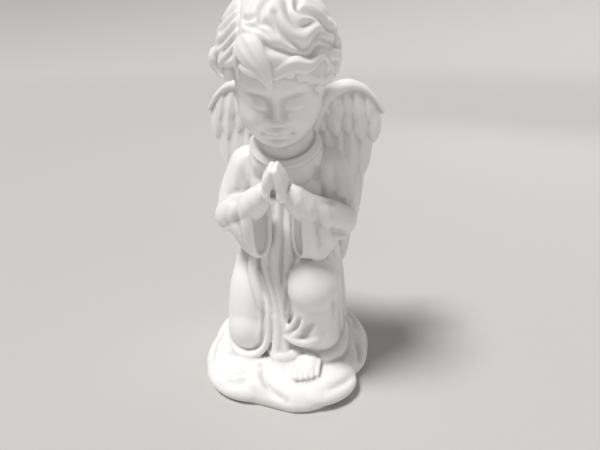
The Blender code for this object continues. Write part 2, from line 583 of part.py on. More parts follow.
def add_folds(clay):
    """Rolls of cloth that stand out from the robe: points, then half widths."""
    folds = (
        # between the knees, falling aslant from the belt to the raised foot
        ([(-5.0, -10.4, 86), (-6.6, -12.6, 66), (-8.4, -14.0, 48), (-5.8, -16, 34), (-2.8, -17.5, 20),
            (-3.0, -18.6, 5)],
            [1.8, 2.4, 2.6, 2.5, 2.4, 2.8]),
        ([(-1.4, -11.4, 88), (-2.4, -13.2, 66), (-3.8, -14.6, 50), (-1.8, -16, 36), (0.2, -17.3, 22),
            (0.8, -18.8, 5)],
            [1.8, 2.4, 2.8, 2.3, 2.0, 2.6]),
        ([(2.4, -11.2, 88), (2.6, -13.2, 68), (2.6, -14.8, 50), (1.6, -16.3, 38), (1.4, -16.8, 22)],
            [1.8, 2.4, 2.8, 2.0, 1.4]),
        ([(6.4, -9.6, 84), (7.4, -12.0, 66), (8.0, -13.2, 54)], [1.6, 2.2, 2.0]),
        ([(-12, -8, 62), (-14.5, -12, 47), (-11.5, -15.2, 34), (-8.0, -14.8, 20)], [1.8, 3.0, 2.8, 1.8]),
        # lower lip of the cloth over the raised shin, and the folds that fan out of it
        ([(-1.6, -16.8, 15.4), (2.4, -18.8, 13.8), (7.2, -20.4, 12.9), (12.6, -21.2, 13.6),
            (17.8, -21.2, 17.0), (22.0, -19.0, 22.4)],
         [1.6, 2.3, 2.8, 3.1, 2.8, 1.4]),
        ([(5.0, -19.5, 14.5), (8.4, -21.8, 18.5), (10.6, -23.4, 23.5),
            (12.0, -24.4, 29.5)], [2.2, 2.1, 1.8, 0.9]),
        ([(1.8, -18.2, 16.5), (4.8, -20.2, 20.5), (7.2, -21.6, 25.5),
            (8.8, -22.4, 30.5)], [1.9, 1.7, 1.5, 0.8]),
        # border of the cloth round the kneeling knee
        ([(-10.4, -13.6, 43), (-7.6, -16.8, 32), (-6.8, -17.8, 27), (-7.4, -18.0, 15), (-10.2, -18.8, 5.5),
            (-16, -19.6, 1.6),
            (-23, -17.2, 1.6), (-27.4, -11.5, 6), (-28.6, -6, 16)],
            [0.9, 1.6, 1.9, 2.2, 2.3, 2.3, 2.2, 2.0, 1.2]),
        # down both flanks
        ([(23.5, -1, 46), (25, 0, 28), (25.8, 1, 8)], [2.0, 2.6, 2.8]),
        ([(23, 12, 48), (25.2, 14, 28), (26.6, 15, 6)], [2.4, 2.8, 3.0]),
        ([(-25, 2, 44), (-27, 3, 26), (-29, 4, 6)], [2.0, 3.0, 3.2]),
        ([(-24, 14, 48), (-27, 18, 26), (-29, 22, 6)], [2.4, 3.2, 3.4]),
    )
    for points, widths in folds:
        add_tube(clay, points, widths, samples=40, sides=18)
    add_skirt(clay)
    # Folds fall down the back
    for k in range(7):
        points = []
        for reach, reach_y, z in ((14, 5, 94), (18, 9, 76), (24, 18.5, 50), (27, 25, 26), (28.5, 30.5, 6),
            (29, 31.5, -3)):
            a = math.radians(-66 + 22 * k + 3 * math.sin(2.3 * k + z / 14))
            points.append((reach * math.sin(a), 9 + reach_y * math.cos(a), z))
        a = math.radians(-66 + 22 * k)
        across = (math.cos(a), -math.sin(a), 0)
        add_tube(clay, points, [1.0, 1.9, 3.2, 4.0, 4.5, 4.6], [0.8, 1.5, 2.2, 2.7, 3.0, 3.0],
            across=across, samples=34, sides=18)


def collar_point(a, reach, drop):
    """A place on the neckline: a turned round the neck from the front, drop measured down from it."""
    x = 14.6 * reach * math.sin(a)
    y = -5.2 - 11.8 * reach * math.cos(a) + 0.5 * drop
    z = 104.6 - 6.0 * reach * math.cos(a) - 0.9 * math.cos(2 * a) - 0.87 * drop
    return x, y, z


def add_neckline(clay):
    """Cloth that rises from the shoulders to the neck."""
    around = [2 * math.pi * k / 48 for k in range(48)]
    mound = ((0.84, 0.6), (0.96, 0.4), (1.04, 1.8), (1.14, 6.0), (1.15, 13.0), (0.98, 21.0), (0.5, 26.0))
    rings = [[collar_point(a, reach, drop) for a in around] for reach, drop in mound]
    add_rings(clay, rings)


def add_collar(clay):
    """The double roll that edges the neckline."""
    around = [2 * math.pi * k / 48 for k in range(48)]
    for reach, drop, size in ((0.95, 0.0, 1.05), (1.045, 1.1, 0.95)):
        ring = [collar_point(a, reach, drop) for a in around[::2]] + [collar_point(0, reach, drop)]
        add_tube(clay, ring, [size] * len(ring), across=(0, 0, 1), samples=72, sides=12, round_ends=False)


# Wing, in its own plane: outwards from the spine, height and half thickness of the arm's roll.
# The wing leans back as it goes outwards.
WING_ARM = (
    (8.0, 101.0, 3.4),
    (11.0, 113.0, 4.0),
    (17.0, 122.2, 3.9),
    (24.5, 126.4, 3.5),
    (31.0, 125.8, 2.6),
    (35.5, 123.2, 2.0),
    (39.0, 119.6, 1.6),
    (42.6, 114.6, 1.0),
)
# Web that carries the feathers: height, then its inner and outer edge
WING_WEB = (
    (123.0, 15.0, 34.0),
    (117.0, 11.5, 39.5),
    (110.0, 9.0, 39.4),
    (98.0, 8.0, 37.0),
    (84.0, 8.0, 33.0),
    (64.0, 8.0, 29.0),
    (46.0, 9.0, 22.0),
)
WING_ROOT_Y = 15.0
WING_LEAN = 0.24
FEATHER_THICK = 1.0


def wing_point(side, out, height, ahead=0.0):
    return (side * out, WING_ROOT_Y + WING_LEAN * out - ahead, height)


def add_feather(clay, side, start, end, width, ahead, face=1):
    """One feather from its root to its rounded tip, slightly bowed, with a raised quill."""
    t = np.linspace(0, 1, 18)
    bow = 1.2 * np.sin(math.pi * t)
    out = start[0] + (end[0] - start[0]) * t
    height = start[1] + (end[1] - start[1]) * t
    middle = np.array([wing_point(side, o, h, (ahead + b * 0.5) * face) for o, h, b in zip(out, height,
        bow)])
    along = unit(np.gradient(middle, axis=0))
    normal = unit(np.array((-side * WING_LEAN * 1.0, 1.0, 0.0))) * -face
    across = unit(np.cross(along, normal))
    half = width * 0.5 * (0.78 + 0.22 * np.sin(math.pi * np.clip(t * 0.8 + 0.05, 0,
        1))) * np.sqrt(np.clip(1.005 - t**5, 0, 1))
    turn = np.linspace(0, 2 * math.pi, 22, endpoint=False)
    rings = []
    for i in range(len(t)):
        x = np.cos(turn)
        skin = FEATHER_THICK * np.sin(turn) * (1 - 0.3 * t[i] ** 6)
        quill = 0.4 * np.exp(-((x / 0.22) ** 2)) * (np.sin(turn) > 0)
        rings.append(middle[i] + across[i] * (half[i] * x)[:, None] + normal * (skin + quill)[:, None])
    add_rings(clay, rings)


# Rows of feathers, lowest row first: how many, then root and tip of the innermost and outermost
# one as (out, height), how far the roots arch up, the width, and how far the row stands off the web
FEATHER_ROWS = (
    (4, (8, 74), (26, 88), (11, 31), (26, 38.5), -1.0, 9.0, -0.9),
    (4, (11, 90), (32.4, 98), (13, 46), (29.0, 54), -1.0, 9.0, -0.1),
    (5, (10, 108), (34.8, 112), (13, 68), (33.6, 82.5), 0.0, 9.4, 1.0),
    (5, (11.5, 122), (38.2, 117.6), (15, 106), (39.4, 100), 1.6, 7.6, 1.8),
    (5, (13.5, 123), (34.5, 124), (17.5, 113.5), (37.5, 108.5), 1.0, 7.0, 2.5),
)


def add_wing(clay, side):
    arm = [wing_point(side, out, height) for out, height, _ in WING_ARM]
    sizes = [size for _, _, size in WING_ARM]
    add_tube(clay, arm, sizes, [s * 0.6 + 2.7 for s in sizes], across=(0, 0, 1), samples=44)
    middles = [wing_point(side, (inner + outer) / 2, height) for height, inner, outer in WING_WEB]
    halves = [(outer - inner) / 2 for _, inner, outer in WING_WEB]
    add_tube(clay, middles, halves, [1.8] * len(WING_WEB), across=(side, WING_LEAN, 0), samples=34)
    for count, inner_root, outer_root, inner_tip, outer_tip, arch, width, ahead in FEATHER_ROWS:
        for k in range(count):
            t = k / (count - 1)
            rise = arch * math.sin(math.pi * t)
            start = [a + (b - a) * t for a, b in zip(inner_root, outer_root)]
            end = [a + (b - a) * t for a, b in zip(inner_tip, outer_tip)]
            start[1] += rise
            end[1] += 0.5 * rise - 1.6 * (k % 2)
            for face in (1, -1):
                add_feather(clay, side, start, end, width, ahead * (1 - 0.35 * t) + 0.3 * (k % 2), face)


# Outline of the ground seen from above: degrees round from +X, and reach in clay
GROUND_OUTLINE = (
    (-180, 42.5), (-163, 44.0), (-146, 44.4), (-132, 43.6), (-116, 42.0), (-102, 40.2),
    (-89, 41.2), (-77, 43.4), (-62, 44.0), (-45, 42.0), (-28, 39.6), (-8, 40.8),
    (15, 44.0), (35, 46.5), (53, 48.5), (75, 44.0), (100, 42.0), (125, 42.5), (150, 41.0),
)


# Swellings that make the top of the ground cloud-like: place, half sizes and turn in degrees
GROUND_LOBES = (
    ((13.0, -22.0, -6.6), (23.5, 19.0, 8.2), 6),
    ((-19.0, -22.5, -7.4), (20.5, 16.0, 8.2), -32),
    ((29.0, 6.0, -6.8), (12.5, 24.0, 8.0), 4),
    ((-27.5, 8.0, -7.0), (14.0, 24.0, 8.0), 4),
    ((2.0, 29.0, -7.0), (28.0, 14.0, 8.2), 0),
)


def add_ground(clay):
    """The low mound that the figure kneels on; its top is at height 0."""
    width, deep, tall = BASE_WIDTH / CLAY, BASE_DEPTH / CLAY, BASE_HEIGHT / CLAY
    keys = np.array(GROUND_OUTLINE + (GROUND_OUTLINE[0],), float)
    keys[-1, 0] += 360
    path = smooth_path(keys, 161)[:-1]
    turn = np.radians(path[:, 0])
    x, y = path[:, 1] * np.cos(turn), path[:, 1] * np.sin(turn)
    middle_x, middle_y = (x.max() + x.min()) / 2, (y.max() + y.min()) / 2
    x, y = (x - middle_x) * width / np.ptp(x), (y - middle_y) * deep / np.ptp(y)
    # Sections of the mound: share of its reach, share of its height
    sections = ((0.955, -0.3), (0.965, 0.0), (0.998, 0.25), (0.99, 0.5), (0.93, 0.8), (0.82, 0.96),
        (0.5, 1.05), (0.03, 1.05))
    rings = []
    for share, rise in smooth_path(sections, 44):
        swell = 0.06 * np.sin(3 * turn + 1.0) * share
        height = np.full_like(x, tall * (rise - 1)) + (tall * swell if rise > 0.3 else 0)
        rings.append(np.column_stack([x * share - 0.2, y * share + 1.4, height]))
    add_rings(clay, rings)
    for place, radii, turn in GROUND_LOBES:
        add_ball(clay, place, radii, (0, 0, turn))


# Creases and ridges pressed into the finished skin: the side they are seen from, the places
# across and up (or along Y, from above), the reach, and how deep they go (below 0: a ridge)
STROKES = (
    # robe between the collar and the arms
    ("front", ((-12.4, 97.5), (-13.4, 93), (-14.4, 88)), 4.0, -0.7),
    ("front", ((-9.0, 96), (-9.6, 92.5), (-10.2, 89)), 3.4, 0.6),
    ("front", ((-17.0, 99), (-18.6, 92), (-19.6, 84)), 3.8, 0.8),
    ("front", ((-21.6, 98), (-23.2, 90), (-23.8, 82)), 4.0, -0.7),
    ("front", ((8.4, 96.5), (9.4, 92), (9.8, 88)), 3.8, -0.7),
    ("front", ((13.0, 98), (14.0, 92), (14.0, 87)), 3.4, 0.7),
    ("front", ((17.4, 99), (18.2, 92), (17.6, 85)), 3.8, -0.7),
    ("front", ((21.2, 98), (22.4, 90), (22.0, 82)), 3.8, 0.8),
    # opening between the heels of the hands
    ("front", ((-0.3, 87.6), (-0.3, 89.2), (-0.2, 91.2)), 1.2, 2.6),
    # right sleeve
    ("front", ((-14.4, 83), (-13.9, 73), (-12.4, 62)), 3.2, -0.8),
    ("front", ((-17.8, 84), (-17.2, 74), (-14.4, 63)), 3.2, 1.0),
    ("front", ((-21.0, 83), (-20.6, 74), (-17.6, 65)), 3.2, -0.7),
    ("front", ((-24.4, 80), (-24.2, 73), (-21.6, 67)), 3.4, 0.8),
    ("front", ((-28.0, 80), (-24.0, 81.5), (-17.0, 84)), 3.2, 1.1),
    # left sleeve
    ("front", ((13.6, 82), (14.2, 71), (15.4, 60)), 3.2, -0.8),
    ("front", ((17.2, 83), (17.3, 72), (18.6, 61)), 3.4, 1.0),
    ("front", ((20.8, 81), (21.0, 71), (21.8, 62)), 3.2, -0.8),
    ("front", ((20.0, 73), (23.6, 69.0), (27.0, 67.5)), 3.0, 0.9),
    ("front", ((28.5, 80), (25.0, 81.0), (17.0, 84.5)), 3.2, 1.1),
    # raised leg
    ("front", ((2.4, 46), (2.0, 34), (1.8, 24)), 2.4, 1.6),
    ("front", ((9.6, 17.4), (13.0, 21.5), (15.4, 27.0)), 3.4, 1.7),
    ("front", ((5.2, 18.0), (7.4, 22.0), (9.0, 27.0)), 2.0, 1.2),
    ("front", ((23.5, 43), (24.5, 34), (24.0, 24)), 3.0, 0.9),
    # kneeling leg
    ("front", ((-12.0, 50), (-9.3, 41.5), (-6.2, 33), (-4.6, 26)), 2.6, 1.5),
    ("front", ((-11.6, 29), (-11.0, 19.5), (-12.4, 11.5), (-16.0, 6.5)), 2.6, -0.7),
    ("front", ((-9.2, 30), (-8.8, 19), (-10.0, 10), (-14.0, 4.5)), 2.2, 0.9),
    # cloud-like lobes of the ground
    ("above", ((-26.0, -36.0), (-19.0, -35.2), (-12.0, -31.5)), 3.8, 1.5),
    ("above", ((-28.0, -31.5), (-20.5, -31.0), (-15.0, -28.5)), 2.8, 1.0),
    ("above", ((-9.5, -26.0), (-7.0, -33.0), (-2.5, -38.6), (5.0, -41.6)), 3.4, 2.2),
    ("above", ((-13.0, -30.0), (-9.0, -35.5), (-5.5, -40.0)), 3.4, -0.9),
    ("above", ((35.0, 2), (37.5, -8.5), (37.0, -17.5)), 3.4, 1.6),
    ("above", ((36.0, -20), (30.5, -29), (22.0, -36.5)), 3.4, 1.4),
    ("above", ((-35.0, -22), (-38.0, -8), (-36.5, 4)), 3.4, 1.4),
    ("above", ((-30.0, 26), (-18.0, 36), (-4.0, 38)), 3.4, 1.4),
    ("above", ((35.0, 14), (33.0, 26), (22.0, 36)), 3.4, 1.4),
)


def line_of_sight(way, pair):
    """Where a stroke's place is looked at from, and the way that is looked."""
    across, up = pair
    if way == "above":
        return Vector((across, up, 2.5)), Vector((0, 0, -1))
    if way == "back":
        return Vector((across, 200, up)), Vector((0, -1, 0))
    return Vector((across, -200, up)), Vector((0, 1, 0))


def press_strokes(made, strokes):
    """Presses each crease into the skin, and draws each ridge out of it."""
    mesh = made.data
    tree = BVHTree.FromPolygons([v.co for v in mesh.vertices], [p.vertices for p in mesh.polygons])
    places = np.empty(len(mesh.vertices) * 3)
    mesh.vertices.foreach_get("co", places)
    places = places.reshape(-1, 3)
    normals = np.array([v.normal for v in mesh.vertices])
    for way, route, reach, depth in strokes:
        hits = [tree.ray_cast(*line_of_sight(way, pair))[0] for pair in smooth_path(route, 24)]
        line = np.array([hit for hit in hits if hit])
        around = np.ptp(line, axis=0) / 2 + 3 * reach
        middle = (line.max(axis=0) + line.min(axis=0)) / 2
        near = np.flatnonzero(np.all(np.abs(places - middle) < around, axis=1))
        gaps = np.linalg.norm(places[near][:, None] - line[None], axis=2)
        closest = gaps.argmin(axis=1)
        fade = np.sin(math.pi * np.clip(closest / (len(line) - 1), 0.06, 0.94)) ** 0.6
        press = depth * fade * np.exp(-((gaps.min(axis=1) / (0.6 * reach)) ** 2))
        places[near] -= normals[near] * press[:, None]
    mesh.vertices.foreach_set("co", places.ravel())
    mesh.update()


def figure():
    clay = bmesh.new()
    cloth = bmesh.new()
    add_body(cloth)
    for side in (-1, 1):
        add_sleeve(cloth, side)
    add_folds(cloth)
    add_neckline(cloth)
    join_into(clay, fused(cloth, "Cloth", FINE_GRAIN, CLOTH_SMOOTHING))
    for side in (-1, 1):
        add_arm(clay, side)
        add_wing(clay, side)
    add_collar(clay)
    add_feet(clay)
    add_head(clay)
    add_ground(clay)
    made = fused(clay, "angel_figurine", FINE_GRAIN, 1)
    press_strokes(made, STROKES)
    return made


def loose_parts_left_out(made):
    """Keeps the body and deletes any shut-in bubble that the melting left."""
    mesh = bmesh.new()
    mesh.from_mesh(made.data)
    unseen = set(mesh.verts)
    groups = []
    while unseen:
        edge = [unseen.pop()]
        group = list(edge)
        while edge:
            reached = [e.other_vert(v) for v in edge for e in v.link_edges]
            edge = [v for v in set(reached) if v in unseen]
            unseen.difference_update(edge)
            group += edge
        groups.append(group)
    groups.sort(key=len)
    for group in groups[:-1]:
        bmesh.ops.delete(mesh, geom=group, context="VERTS")
    mesh.to_mesh(made.data)
    mesh.free()


def cut_flat(made, height):
    """Cuts the body off level at a height and closes the cut with one flat face."""
    mesh = bmesh.new()
    mesh.from_mesh(made.data)
    everything = mesh.verts[:] + mesh.edges[:] + mesh.faces[:]
    bmesh.ops.bisect_plane(mesh, geom=everything, plane_co=(0, 0, height), plane_no=(0, 0, 1),
        clear_inner=True)
    rim = [edge for edge in mesh.edges if edge.is_boundary]
    bmesh.ops.holes_fill(mesh, edges=rim, sides=0)
    bmesh.ops.triangulate(mesh, faces=mesh.faces[:])
    bmesh.ops.recalc_face_normals(mesh, faces=mesh.faces[:])
    mesh.to_mesh(made.data)
    mesh.free()


def printed_plastic():
    made = bpy.data.materials.new("white printed plastic")
    made.use_nodes = True
    shader = made.node_tree.nodes["Principled BSDF"]
    shader.inputs["Base Color"].default_value = (0.80, 0.80, 0.81, 1)
    shader.inputs["Roughness"].default_value = 0.55
    shader.inputs["Metallic"].default_value = 0.0
    return made


def carving_fineness(place):
    """Nearly 1 on the head and hands, less on the wings and the robe, least on the ground."""
    x, y, z = place
    if z > 104 and abs(x) < 26 and y < 19:
        return 0.96
    if y < -22 and z > 78 and abs(x) < 9:
        return 0.96
    if y > 15 and z > 30 and abs(x) > 6:
        return 0.5
    if z > 2:
        return 0.3
    return 0.1


def main():
    for old in list(bpy.data.objects):
        bpy.data.objects.remove(old)
    made = figure()
    loose_parts_left_out(made)
    # Faces are kept where the carving is finest
    keep = made.vertex_groups.new(name="fine carving")
    for vertex in made.data.vertices:
        keep.add([vertex.index], carving_fineness(vertex.co), "REPLACE")
    thin = made.modifiers.new("Thin out", "DECIMATE")
    thin.ratio = SOLID_TRIANGLES / (2 * len(made.data.polygons))
    thin.use_collapse_triangulate = True
    thin.vertex_group = keep.name
    thin.invert_vertex_group = True
    thin.vertex_group_factor = 1.0
    applied(made)
    cut_flat(made, -BASE_HEIGHT / CLAY)
    made.data.transform(Matrix.Scale(CLAY, 4))
    corners = np.array([v.co for v in made.data.vertices])
    low, high = corners.min(axis=0), corners.max(axis=0)
    made.data.transform(Matrix.Translation((-(low[0] + high[0]) / 2, -(low[1] + high[1]) / 2, -low[2])))
    made.data.materials.append(printed_plastic())
    print("triangles", len(made.data.polygons), "size in mm", np.round((high - low) * 1000, 1))


main()
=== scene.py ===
# Kneeling angel figurine: a praying winged child on a low rounded ground, printed in white plastic
# as one piece. Metres, +Z up. The figure faces -Y and its own right side is at -X.
import json
import math

import bpy
import numpy as np
from mathutils import Matrix, Vector
from mathutils.bvhtree import BVHTree

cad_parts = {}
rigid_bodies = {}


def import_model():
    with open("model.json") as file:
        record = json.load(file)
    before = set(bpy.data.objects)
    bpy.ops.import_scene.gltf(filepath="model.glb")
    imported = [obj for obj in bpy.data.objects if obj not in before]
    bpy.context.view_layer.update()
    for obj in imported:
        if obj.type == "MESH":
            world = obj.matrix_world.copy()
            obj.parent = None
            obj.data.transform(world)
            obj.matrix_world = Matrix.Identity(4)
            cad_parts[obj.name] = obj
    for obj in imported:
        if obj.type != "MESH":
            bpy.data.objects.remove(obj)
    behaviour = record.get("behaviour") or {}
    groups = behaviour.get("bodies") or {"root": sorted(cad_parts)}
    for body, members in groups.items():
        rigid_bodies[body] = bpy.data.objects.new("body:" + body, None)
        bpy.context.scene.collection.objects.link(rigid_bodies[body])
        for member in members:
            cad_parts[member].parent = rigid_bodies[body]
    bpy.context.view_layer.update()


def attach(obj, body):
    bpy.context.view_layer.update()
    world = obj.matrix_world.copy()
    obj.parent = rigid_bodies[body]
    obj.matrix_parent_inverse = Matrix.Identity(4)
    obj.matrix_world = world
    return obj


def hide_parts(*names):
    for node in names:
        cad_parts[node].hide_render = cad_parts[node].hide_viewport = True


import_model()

# The one piece. It is shaped in clay units, a millimetre each, over the top of the ground,
# and scaled at the end.
figurine = {
    "height": 0.166,  # of the figure over the ground, in metres
    "clayHeight": 166.0,  # the same in clay units
    "groundWidth": 0.084,
    "groundDepth": 0.088,
    "groundHeight": 0.012,
    "headPlace": (-1.5, -12.0, 137.0),
    "headBow": 28.0,  # degrees forward
    "headTurn": 7.0,  # degrees to its own left
    "softGrain": 1.5,  # voxel of the trunk, in clay units
    "fineGrain": 0.46,  # voxel of the whole figure
    "triangles": 190000,
    "smoothing": 2,
    "clothSmoothing": 9,
    "trunkSmoothing": 5,
    "sharpAngle": 60,  # degrees, from which an edge stays crisp
    "hollowReach": 14,  # rounds of averaging that find the creases
    "hollowDepth": 0.0008,  # metres, from the full crest tint to the full crease tint
}
millimetre = figurine["height"] / figurine["clayHeight"]


def selectOnly(*pieces):
    bpy.ops.object.select_all(action="DESELECT")
    for piece in pieces:
        piece.select_set(True)
    bpy.context.view_layer.objects.active = pieces[0]


# A skin through rings of points, each with as many points, with flat ends
def addRings(clay, rings):
    count = len(rings[0])
    places = np.concatenate(rings)
    faces = [tuple(range(count))[::-1], tuple(range(len(places) - count, len(places)))]
    for row in range(len(rings) - 1):
        low, high = row * count, (row + 1) * count
        for i in range(count):
            j = (i + 1) % count
            faces.append((low + i, low + j, high + j, high + i))
    mesh = bpy.data.meshes.new("lump")
    mesh.from_pydata(places.tolist(), [], faces)
    made = bpy.data.objects.new("lump", mesh)
    bpy.context.scene.collection.objects.link(made)
    clay.append(made)


# A pressed ball of clay; turn is in degrees about X, Y and Z
def addBall(clay, centre, radii, turn=(0, 0, 0)):
    bpy.ops.object.select_all(action="DESELECT")
    bpy.ops.mesh.primitive_ico_sphere_add(
        subdivisions=5,
        location=centre,
        rotation=[math.radians(a) for a in turn],
        scale=radii,
    )
    bpy.ops.object.transform_apply(location=True, rotation=True, scale=True)
    clay.append(bpy.context.object)


# All the lumps in clay melted into one skin
def fused(clay, name, grain, smoothing):
    selectOnly(*clay)
    bpy.ops.object.join()
    made = bpy.context.object
    made.name = name
    bpy.ops.object.mode_set(mode="EDIT")
    bpy.ops.mesh.select_all(action="SELECT")
    bpy.ops.mesh.normals_make_consistent(inside=False)
    bpy.ops.object.mode_set(mode="OBJECT")
    melt = made.modifiers.new("Melt", "REMESH")
    melt.mode = "VOXEL"
    melt.voxel_size = grain
    bpy.ops.object.modifier_apply(modifier=melt.name)
    if smoothing:
        soften = made.modifiers.new("Soften", "SMOOTH")
        soften.factor = 0.5
        soften.iterations = smoothing
        bpy.ops.object.modifier_apply(modifier=soften.name)
    return made


# Points evenly read from a Catmull-Rom curve through the rows of a small list.
def smoothPath(points, samples):
    keys = np.array(points, float)
    keys = np.vstack([2 * keys[0] - keys[1], keys, 2 * keys[-1] - keys[-2]])
    places = np.linspace(0, len(keys) - 3 - 1e-9, samples)
    before = places.astype(int)
    t = (places - before)[:, None]
    a, b, c, d = (keys[before + shift] for shift in range(4))
    return 0.5 * (2 * b + (c - a) * t + (2 * a - 5 * b + 4 * c - d) * t**2 + (3 * b - a - 3 * c + d) * t**3)


def unit(vectors):
    return vectors / np.maximum(np.linalg.norm(vectors, axis=-1, keepdims=True), 1e-9)


# A limb, fold or roll along a curve: widths are half sizes along across, depths the other way.
def addTube(clay, points, widths, depths=None, across=(1, 0, 0), samples=28, sides=24, roundEnds=True):
    depths = widths if depths is None else depths
    keys = np.column_stack([np.array(points, float), widths, depths])
    path = smoothPath(keys, samples)
    middle, width, depth = path[:, :3], np.maximum(path[:, 3], 0.05), np.maximum(path[:, 4], 0.05)
    along = unit(np.gradient(middle, axis=0))
    side = unit(np.array(across, float) - along * (along @ np.array(across, float))[:, None])
    up = np.cross(along, side)
    turn = np.linspace(0, 2 * math.pi, sides, endpoint=False)

    def shape(i, share, shift):
        ring = side[i] * (width[i] * share * np.cos(turn))[:, None]
        return middle[i] + along[i] * shift + ring + up[i] * (depth[i] * share * np.sin(turn))[:, None]

    caps = [math.radians(a) for a in (80, 60, 40, 20)] if roundEnds else []
    rings = [shape(0, math.cos(a), -min(width[0], depth[0]) * math.sin(a)) for a in caps]
    rings += [shape(i, 1, 0) for i in range(samples)]
    rings += [shape(-1, math.cos(a), min(width[-1], depth[-1]) * math.sin(a)) for a in caps[::-1]]
    addRings(clay, rings)


def headMatrix():
    turned = Matrix.Rotation(math.radians(figurine["headTurn"]), 4, "Z")
    bowed = Matrix.Rotation(math.radians(figurine["headBow"]), 4, "X")
    return Matrix.Translation(figurine["headPlace"]) @ turned @ bowed


# Head, in its own space: +Z is the crown, -Y the face, the origin midway between the ears.
# Each level of the head: height, half width, front, middle and back along Y
headLevels = (
    (23.6, 0.8, 2.0, 3.5, 5.0),
    (22.0, 8.5, -5.5, 4.0, 12.0),
    (19.0, 13.5, -11.5, 4.0, 17.0),
    (14.0, 17.0, -17.4, 4.0, 21.5),
    (7.0, 18.4, -21.4, 4.0, 24.5),
    (0.0, 18.2, -22.4, 3.0, 24.8),
    (-6.0, 17.7, -22.0, 1.0, 23.0),
    (-12.0, 17.6, -22.0, -2.0, 18.5),
    (-18.0, 16.2, -21.5, -5.0, 12.0),
    (-22.5, 13.2, -20.8, -8.0, 6.0),
    (-25.8, 9.2, -19.2, -11.0, -1.0),
    (-27.8, 2.0, -15.5, -13.5, -11.5),
)

# Forms of a calm child's face: across, up, spread across, spread up, how far it stands out.
# Those off the middle are made on both sides.
faceForms = (
    (10.4, -13.2, 6.0, 6.0, 2.9),
    (7.8, -3.2, 4.8, 3.3, -3.2),
    (7.9, -4.6, 3.7, 2.6, 3.0),
    (7.9, -1.7, 4.2, 0.7, -0.5),
    (7.9, -7.0, 3.6, 0.6, -0.9),
    (7.8, 2.2, 5.6, 2.0, 0.8),
    (0.0, -3.0, 2.0, 3.0, 0.8),
    (0.0, -7.4, 2.1, 3.0, 2.4),
    (0.0, -10.6, 2.7, 2.1, 3.6),
    (2.9, -11.5, 1.6, 1.4, 2.0),
    (1.5, -13.1, 0.8, 0.7, -1.2),
    (0.0, -14.6, 1.0, 1.2, -0.6),
    (2.0, -16.5, 2.3, 1.1, 1.7),
    (0.0, -17.8, 3.8, 0.5, -1.0),
    (0.0, -19.2, 2.8, 1.2, 1.9),
    (0.0, -21.6, 3.4, 1.0, -1.0),
    (0.0, -24.2, 4.2, 2.3, 1.8),
    (5.9, -17.7, 1.3, 1.4, -0.8),
)
headRingCount = 120
headSideCount = 168
faceSquareness = 2.25


# How far the face stands out at each point, in clay units.
def faceRelief(across, up):
    relief = np.zeros_like(across)
    for x, z, spreadX, spreadZ, height in faceForms:
        for side in (x, -x) if x else (x,):
            relief += height * np.exp(-(((across - side) / spreadX) ** 2) - ((up - z) / spreadZ) ** 2)
    return relief


def headRings():
    turn = np.linspace(0, 2 * math.pi, headSideCount, endpoint=False)
    power = 2 / faceSquareness
    rings = []
    for height, half, front, middle, back in smoothPath(headLevels, headRingCount):
        x = half * np.sign(np.cos(turn)) * np.abs(np.cos(turn)) ** power
        ahead = np.sin(turn) < 0
        reach = np.where(ahead, middle - front, back - middle)
        y = middle + np.sign(np.sin(turn)) * reach * np.abs(np.sin(turn)) ** power
        facing = np.clip(-np.sin(turn), 0, 1) ** 2
        y -= facing * faceRelief(x, np.full_like(x, height))
        rings.append(np.column_stack([x, y, np.full_like(x, height)]))
    return rings


# The scalp that the hair lies on: an ellipsoid in the head's space
scalpCentre = np.array((0.0, 3.6, 4.6))
scalpRadii = np.array((19.8, 23.8, 20.4))


# A point over the scalp: degrees round from the face towards +X, degrees up, and height over it.
def onScalp(turn, rise, lift=0.0):
    a, e = np.radians(turn), np.radians(rise)
    way = np.stack([np.cos(e) * np.sin(a), -np.cos(e) * np.cos(a), np.sin(e)], axis=-1)
    return scalpCentre + way * (scalpRadii + np.asarray(lift, float)[..., None])


# A smooth line over the scalp through (turn, rise) pairs, with its way out of the scalp.
def scalpRoute(route, samples, lift):
    keys = onScalp(*np.array(route, float).T)
    line = (smoothPath(keys, samples) - scalpCentre) / scalpRadii
    way = unit(line)
    middle = scalpCentre + way * (scalpRadii + np.asarray(lift, float)[..., None])
    return middle, unit(way / scalpRadii)


# One carved lock of hair, from its root to its pointed tip.
def addLock(clay, route, width, thickness, lift, tipLift, samples=40, sides=40):
    t = np.linspace(0, 1, samples)
    middle, out = scalpRoute(route, samples, lift - 2.6 * (1 - t) ** 4 + tipLift * t**2)
    side = unit(np.cross(unit(np.gradient(middle, axis=0)), out))
    taper = np.sqrt(np.clip(1.0 - t**2.6, 0.0004, 1))
    half = width * 0.5 * (0.5 + 0.5 * np.sin(math.pi * np.clip(t * 1.2 + 0.05, 0, 1))) * taper
    thick = thickness * (0.55 + 0.45 * np.sin(math.pi * np.clip(t * 1.1, 0, 1))) * taper
    turn = np.linspace(0, 2 * math.pi, sides, endpoint=False)
    across = np.cos(turn)
    strands = 3 if width > 8 else 2  # a wide lock is carved in three
    crest = 1 - 0.17 * (0.5 + 0.5 * np.cos(across * math.pi * strands)) * (np.sin(turn) > 0)
    height = np.sin(turn) * crest
    rings = []
    for i in range(samples):
        skin = side[i] * (half[i] * across)[:, None] + out[i] * (thick[i] * height)[:, None]
        rings.append(middle[i] + skin)
    addRings(clay, rings)


